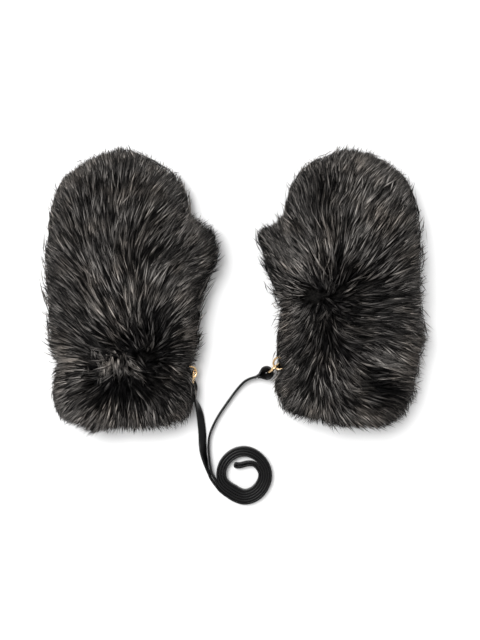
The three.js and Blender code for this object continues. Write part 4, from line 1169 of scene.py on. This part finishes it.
def on_spines(spines, sides, normals, s):
    """Points at shares s of the spines' lengths, with the way aside, the way out and the way ahead."""
    t = np.arange(len(spines))[:, None]
    step = np.clip(s, 0, 1) * WISP_STEPS
    i = np.clip(step.astype(int), 0, WISP_STEPS - 1)
    f = (step - i)[..., None]
    line = spines[t, i] * (1 - f) + spines[t, i + 1] * f
    return line, sides[t, i], normals[t, i], unit(spines[t, i + 1] - spines[t, i])


def hairs_from(side, spines, sides, normals, tone, apart, loose, draw):
    """The spindles of all wisps: in a wisp the hairs start apart and draw together towards the tip, but a
    stray or loose hair does not. Each runs straight from root to tip with a slight bow, and is left out
    where it is too short or its points pass the outline by more than its margin. Gives four points a
    hair: the root, two at the sides of its middle and the tip."""
    many = (len(spines), HAIRS_PER_WISP)
    room = room_in_outline(side, spines)
    at_hem = np.clip((HEM_FROM - spines[:, -1, 1]) / ENDS_OVER, 0, 1)[:, None]
    at_top = np.clip((spines[:, -1, 1] - FINGERTIPS_FROM) / ENDS_OVER, 0, 1)[:, None]
    in_coat = draw.normal(*COAT_ENDS[:2], many) + COAT_ENDS[2] * at_hem + COAT_ENDS[3] * at_top
    standing_off = np.minimum(LOOSE_ENDS[0] + draw.exponential(LOOSE_ENDS[1], many), LOOSE_ENDS[2])
    margin = np.where(loose[:, None], standing_off, in_coat)
    ring_u, ring_along, ring_clear = CLIPS[side]["clear"]
    near_ring = np.hypot(spines[:, -1, 0] - ring_u, spines[:, -1, 1] - ring_along) < NEAR_RING
    margin = np.where(near_ring[:, None], np.minimum(margin, END_NEAR_RING), margin)
    off_ring = np.hypot(spines[..., 0] - ring_u, spines[..., 1] - ring_along) - ring_clear
    off_ring = np.where(spines[..., 2] > CLEAR_ABOVE, off_ring, TOO_FAR)
    reach = np.minimum(draw.uniform(*HAIR_REACH, many), room_along(room, margin))
    reach = np.minimum(reach, room_along(off_ring, np.zeros(many)))
    stray = draw.random(many) < STRAY_SHARE
    off_side = draw.normal(0, 1, many) * apart[:, None]
    off_back = draw.normal(0, ROOT_BACK, many)
    off_up = draw.normal(0, ROOT_UP, many)
    bend = draw.normal(0, BEND, many) + stray * draw.normal(0, STRAY_BEND, many)
    bend = bend + loose[:, None] * draw.normal(0, LOOSE_BEND, many)
    draw_in = np.where(stray | loose[:, None], 0.0, draw.uniform(*DRAWN_TOGETHER, many))
    first = draw.uniform(*HAIR_FIRST, many)
    placed_at = []
    for share in (first, first + HAIR_MIDDLE * (1 - first), 1.0):
        s = share * reach
        line, aside, normal, ahead = on_spines(spines, sides, normals, s)
        narrow = 1 - draw_in * s
        shift = off_side * narrow + bend * s**2
        line = line + aside * shift[..., None] + normal * (off_up * narrow)[..., None]
        line = line + ahead * (off_back * (1 - s))[..., None]
        line[..., 2] = np.maximum(line[..., 2], ON_TABLE)
        placed_at.append((line, aside, normal))
    thin = np.where(loose[:, None], LOOSE_WIDTH, 1.0)
    half = (HAIR_WIDTH * draw.uniform(*WIDTH_SPREAD, many) * thin / 2)[..., None]
    (root, _, _), (middle, aside, normal), (tip, _, _) = placed_at
    straight = root + (tip - root) * HAIR_MIDDLE
    bow = middle - straight
    bow = bow * np.minimum(1, MOST_BOW / np.maximum(np.linalg.norm(bow, axis=-1), 1e-6))[..., None]
    raised = straight + bow + normal * half * RIDGE
    points = np.stack([root, raised + aside * half, raised - aside * half, tip], axis=2)
    points = points.reshape(-1, 4, 3)
    tone = np.clip(tone[:, None] + draw.normal(0, HAIR_TONE_SPREAD, many), 0, 1).ravel()
    room_left = room_in_outline(side, points[:, 1:]).min(axis=1) + margin.ravel()
    keep = (reach > SHORTEST).ravel() & (room_left > -MAY_PASS)
    return points[keep], tone[keep]


# A spindle's four faces, and for its four points the place from root to tip and the place across the
# column of the UV map that stands for its tone.
SPINDLE = np.array([[0, 1, 2], [1, 3, 2], [0, 3, 1], [0, 2, 3]])
SPINDLE_UP = np.array([0.0, HAIR_MIDDLE, HAIR_MIDDLE, 1.0])
SPINDLE_ACROSS = np.array([0.5, 0.1, 0.9, 0.5])


def fur_material():
    """Guard hair: the UV map's first number picks one of the tones, its second is the place from root to
    tip. Nearly black at the root, lightest short of the tip, and here and there a little warmer."""
    material, tree, shader = new_material("guard hair", (0.05, 0.047, 0.044), 0.5, Specular_IOR_Level=0.06)
    uv = node(tree, "ShaderNodeUVMap", {"uv_map": "OFBake"})
    split = node(tree, "ShaderNodeSeparateXYZ", Vector=uv.outputs["UV"])
    column = maths(tree, "FLOOR", maths(tree, "MULTIPLY", split.outputs["X"], float(TONES)))
    tips = colour_ramp(
        tree, maths(tree, "DIVIDE", column, float(TONES - 1)),
        (0.0, (0.003, 0.0028, 0.003)), (0.3, (0.0105, 0.01, 0.0098)), (0.55, (0.055, 0.0517, 0.0494)),
        (0.8, (0.205, 0.192, 0.181)), (1.0, (0.42, 0.39, 0.362)),
    )
    strengths = [(0.0, 0.04), (0.12, 0.14), (0.32, 0.65), (0.5, 1.0), (0.85, 1.0), (1.0, 0.85)]
    lengthwise = colour_ramp(tree, split.outputs["Y"], *((at, (grey,) * 3) for at, grey in strengths))
    multiply = {"data_type": "RGBA", "blend_type": "MULTIPLY"}
    shade = node(tree, "ShaderNodeMix", multiply, i0=1.0, i6=tips, i7=lengthwise).outputs[2]
    place = node(tree, "ShaderNodeTexCoord").outputs["Object"]
    drift = node(tree, "ShaderNodeTexNoise", Vector=place, Scale=38.0, Detail=2.0).outputs[0]
    warmth = map_range(tree, drift, 0.45, 0.7)
    warm = node(tree, "ShaderNodeMix", multiply, i0=warmth, i6=shade, i7=(1.04, 0.985, 0.93, 1.0))
    tree.links.new(warm.outputs[2], shader.inputs["Base Color"])
    return material


GUARD_HAIR = fur_material()


def spread_over(side, count, draw):
    """Places all round the hand, as many to each square millimetre, but fewer under the palm: along and
    angle."""
    last = OUTLINES[side][-1, 0]
    along = draw.uniform(6, last - 1, count * 8)
    angle = draw.uniform(-math.pi / 2, 3 * math.pi / 2, count * 8)
    here = hand_point(side, along, angle, 0.0)
    step = hand_point(side, np.minimum(along + 1, last), angle, 0.0) - here
    swing = hand_point(side, along, angle + 0.02, 0.0) - here
    area = np.linalg.norm(np.cross(step, swing), axis=-1)
    area = np.minimum(area, np.percentile(area, 99))
    area = area * np.where(np.sin(angle) < PALM_BELOW, PALM_SHARE, 1.0)
    keep = np.flatnonzero(draw.random(len(area)) < area / area.max())[:count]
    return along[keep], angle[keep]


def kinds_of_wisp(draw, near_edge):
    """Each wisp's tone, depth under the outline, hold on the fur's shape and width: drawn from its kind,
    and near the outline some stand off the coat, thin and fanned out."""
    count = len(near_edge)
    kind = WISP_KINDS[np.searchsorted(np.cumsum(WISP_KINDS[:-1, 0]), draw.random(count))]
    tone = kind[:, 1] + kind[:, 2] * draw.normal(size=count)
    target = kind[:, 3] + kind[:, 4] * draw.exponential(size=count)
    loose = draw.random(count) < LOOSE_SHARE * near_edge
    target = np.where(loose, LOOSE_DEPTH - draw.exponential(LOOSE_OUT, count), target)
    deep = np.maximum(target, 0)
    # Painted shade: a wisp's tone is made darker for each millimetre that it lies under the outline, as if
    # shaded by the hair above.
    tone = np.where(loose, draw.normal(*LOOSE_TONES, count), tone - DEPTH_PAINTED_SHADE * deep)
    follows = np.where(loose, LOOSE_FOLLOWS, FOLLOWS_SHAPE)
    apart = np.where(loose, LOOSE_APART, kind[:, 5])
    return tone, np.maximum(target, MOST_OUT), follows, apart, loose


def hand_hair(side, seed, draw):
    """The hair of the hand: wisps over all of it, which swerve most in the whorl and where a tuft falls
    across the coat, with tones that change softly over it."""
    along, angle = spread_over(side, WISPS_HAND, draw)
    count = len(along)
    last = OUTLINES[side][-1, 0]
    depth = ROOT_DEPTH + on_back(angle) * draw.uniform(*ROOT_DEEPER, count)
    root = hand_point(side, along, angle, depth)
    root[:, 1] = np.minimum(root[:, 1], last - ROOTS_END)
    swerve = (
        ripple(root, seed + 1, BROAD_SWERVE, BROAD_WAVES)
        + ripple(root, seed + 3, NARROW_SWERVE, NARROW_WAVES)
        + draw.normal(0, OWN_SWERVE, count)
    )
    length = draw.uniform(*HAND_LENGTHS, count)
    whorl_u, whorl_along, whorl_reach = WHORLS[side]
    whorl = np.exp(-((root[:, 0] - whorl_u) ** 2 + (root[:, 1] - whorl_along) ** 2) / whorl_reach**2)
    swerve = swerve + whorl * draw.normal(0, WHORL_SWERVE, count)
    length = length * (1 - WHORL_SHORTER * whorl)
    near_edge = np.clip(LOOSE_FROM - inside_by(plan_outline(side), root) / LOOSE_WITHIN, 0, 1)
    tone, target, follows, apart, loose = kinds_of_wisp(draw, near_edge)
    tone = tone + ripple(root, seed + 2, COAT_TONES, BROAD_WAVES)
    tone = tone - WHORL_DARKER * whorl - HAND_DARKER[side]
    own_way = np.full(count, math.nan)
    for tuft_u, tuft_along, tuft_reach, tuft_heading in TUFTS[side]:
        off = (root[:, 0] - tuft_u) ** 2 + (root[:, 1] - tuft_along) ** 2
        in_tuft = (draw.random(count) < np.exp(-off / tuft_reach**2)) & (root[:, 2] > WIDEST_AT)
        in_tuft = in_tuft & (draw.random(count) < TUFT_SHARE)
        heading = math.radians(tuft_heading) + draw.normal(0, TUFT_SPREAD, count)
        own_way = np.where(in_tuft, heading, own_way)
        length = np.where(in_tuft, draw.uniform(*TUFT_LENGTHS, count), length)
        target = np.where(in_tuft, draw.uniform(*TUFT_DEPTHS, count), target)
        tone = np.where(in_tuft, draw.normal(*TUFT_TONES, count), tone)
    spines = wisp_spines(
        side, lambda p: hand_size(side, p), root, swerve, length, target, follows, last - 4.0, own_way
    )
    seen_at = spines[0][:, 4]
    # Painted light: wisps that lie near the outline are made paler, as a lit rim.
    tone = tone + RIM_PAINTED_LIGHT * np.exp(-np.maximum(inside_by(plan_outline(side), seen_at), 0) / RIM_REACH)
    for patch_u, patch_along, patch_reach, paler in PATCHES[side]:
        off = (seen_at[:, 0] - patch_u) ** 2 + (seen_at[:, 1] - patch_along) ** 2
        tone = tone + paler * np.exp(-off / patch_reach**2)
    bare_u, bare_along, bare_half, bare_long = BARE_LABEL[side]
    late = spines[0][:, 2:]
    over = (np.abs(late[..., 0] - bare_u) < bare_half) & (np.abs(late[..., 1] - bare_along) < bare_long)
    over = (over & (late[..., 2] > WIDEST_AT)).any(axis=1)
    keep = ~over | (draw.random(count) < STAY_ON_LABEL)
    tone = np.where(over, tone - DARKER_ON_LABEL, tone)
    return hairs_from(side, *(part[keep] for part in (*spines, tone, apart, loose)), draw)


def thumb_hair(side, draw):
    """The hair of the thumb: wisps over its upper part, with tones that differ more than the hand's."""
    many = WISPS_THUMB
    root = thumb_point(
        draw.uniform(*THUMB_ROOTS_ALONG, many), draw.uniform(*THUMB_ROOTS_ROUND, many),
        draw.uniform(*THUMB_ROOT_DEPTHS, many),
    )
    tone, target, follows, apart, loose = kinds_of_wisp(draw, np.full(many, LOOSE_ON_THUMB))
    swerve, length = draw.normal(0, THUMB_SWERVE, many), draw.uniform(*THUMB_LENGTHS, many)
    spines = wisp_spines(side, thumb_size, root, swerve, length, target, follows, math.inf)
    spread = THUMB_MIDDLE_TONE + THUMB_CONTRAST * (tone - THUMB_MIDDLE_TONE)
    tone = np.where(loose, tone, spread) - THUMB_DARKER
    return hairs_from(side, *spines, tone, apart, loose, draw)


def fur_piece(side, name, points, tone):
    """One mesh of many spindles, each with its own tone."""
    count = len(points)
    faces = (SPINDLE + (np.arange(count) * 4)[:, None, None]).reshape(-1, 3)
    column = np.floor(tone * (TONES - 0.01))
    across = (column[:, None] + SPINDLE_ACROSS) / TONES
    up = np.broadcast_to(SPINDLE_UP * 0.96 + 0.02, across.shape)
    uv = np.stack([across, up], axis=-1).reshape(-1, 2)[faces]
    placed(side, name, points.reshape(-1, 3), faces, GUARD_HAIR, "fur", uv=uv)


# Each hand's hair is shared out between two pieces, so that neither has too many triangles.
PILE_PARTS, FUR_SEEDS = 2, (101, 202)
for fur_side, fur_seed in zip(SIDES, FUR_SEEDS):
    fur_draw = np.random.default_rng(fur_seed)
    hand_points, hand_tones = hand_hair(fur_side, fur_seed, fur_draw)
    for part in range(PILE_PARTS):
        chosen = slice(part, None, PILE_PARTS)
        fur_piece(fur_side, f"{fur_side}_hand_pile_{part + 1}", hand_points[chosen], hand_tones[chosen])
    fur_piece(fur_side, fur_side + "_thumb_pile", *thumb_hair(fur_side, fur_draw))
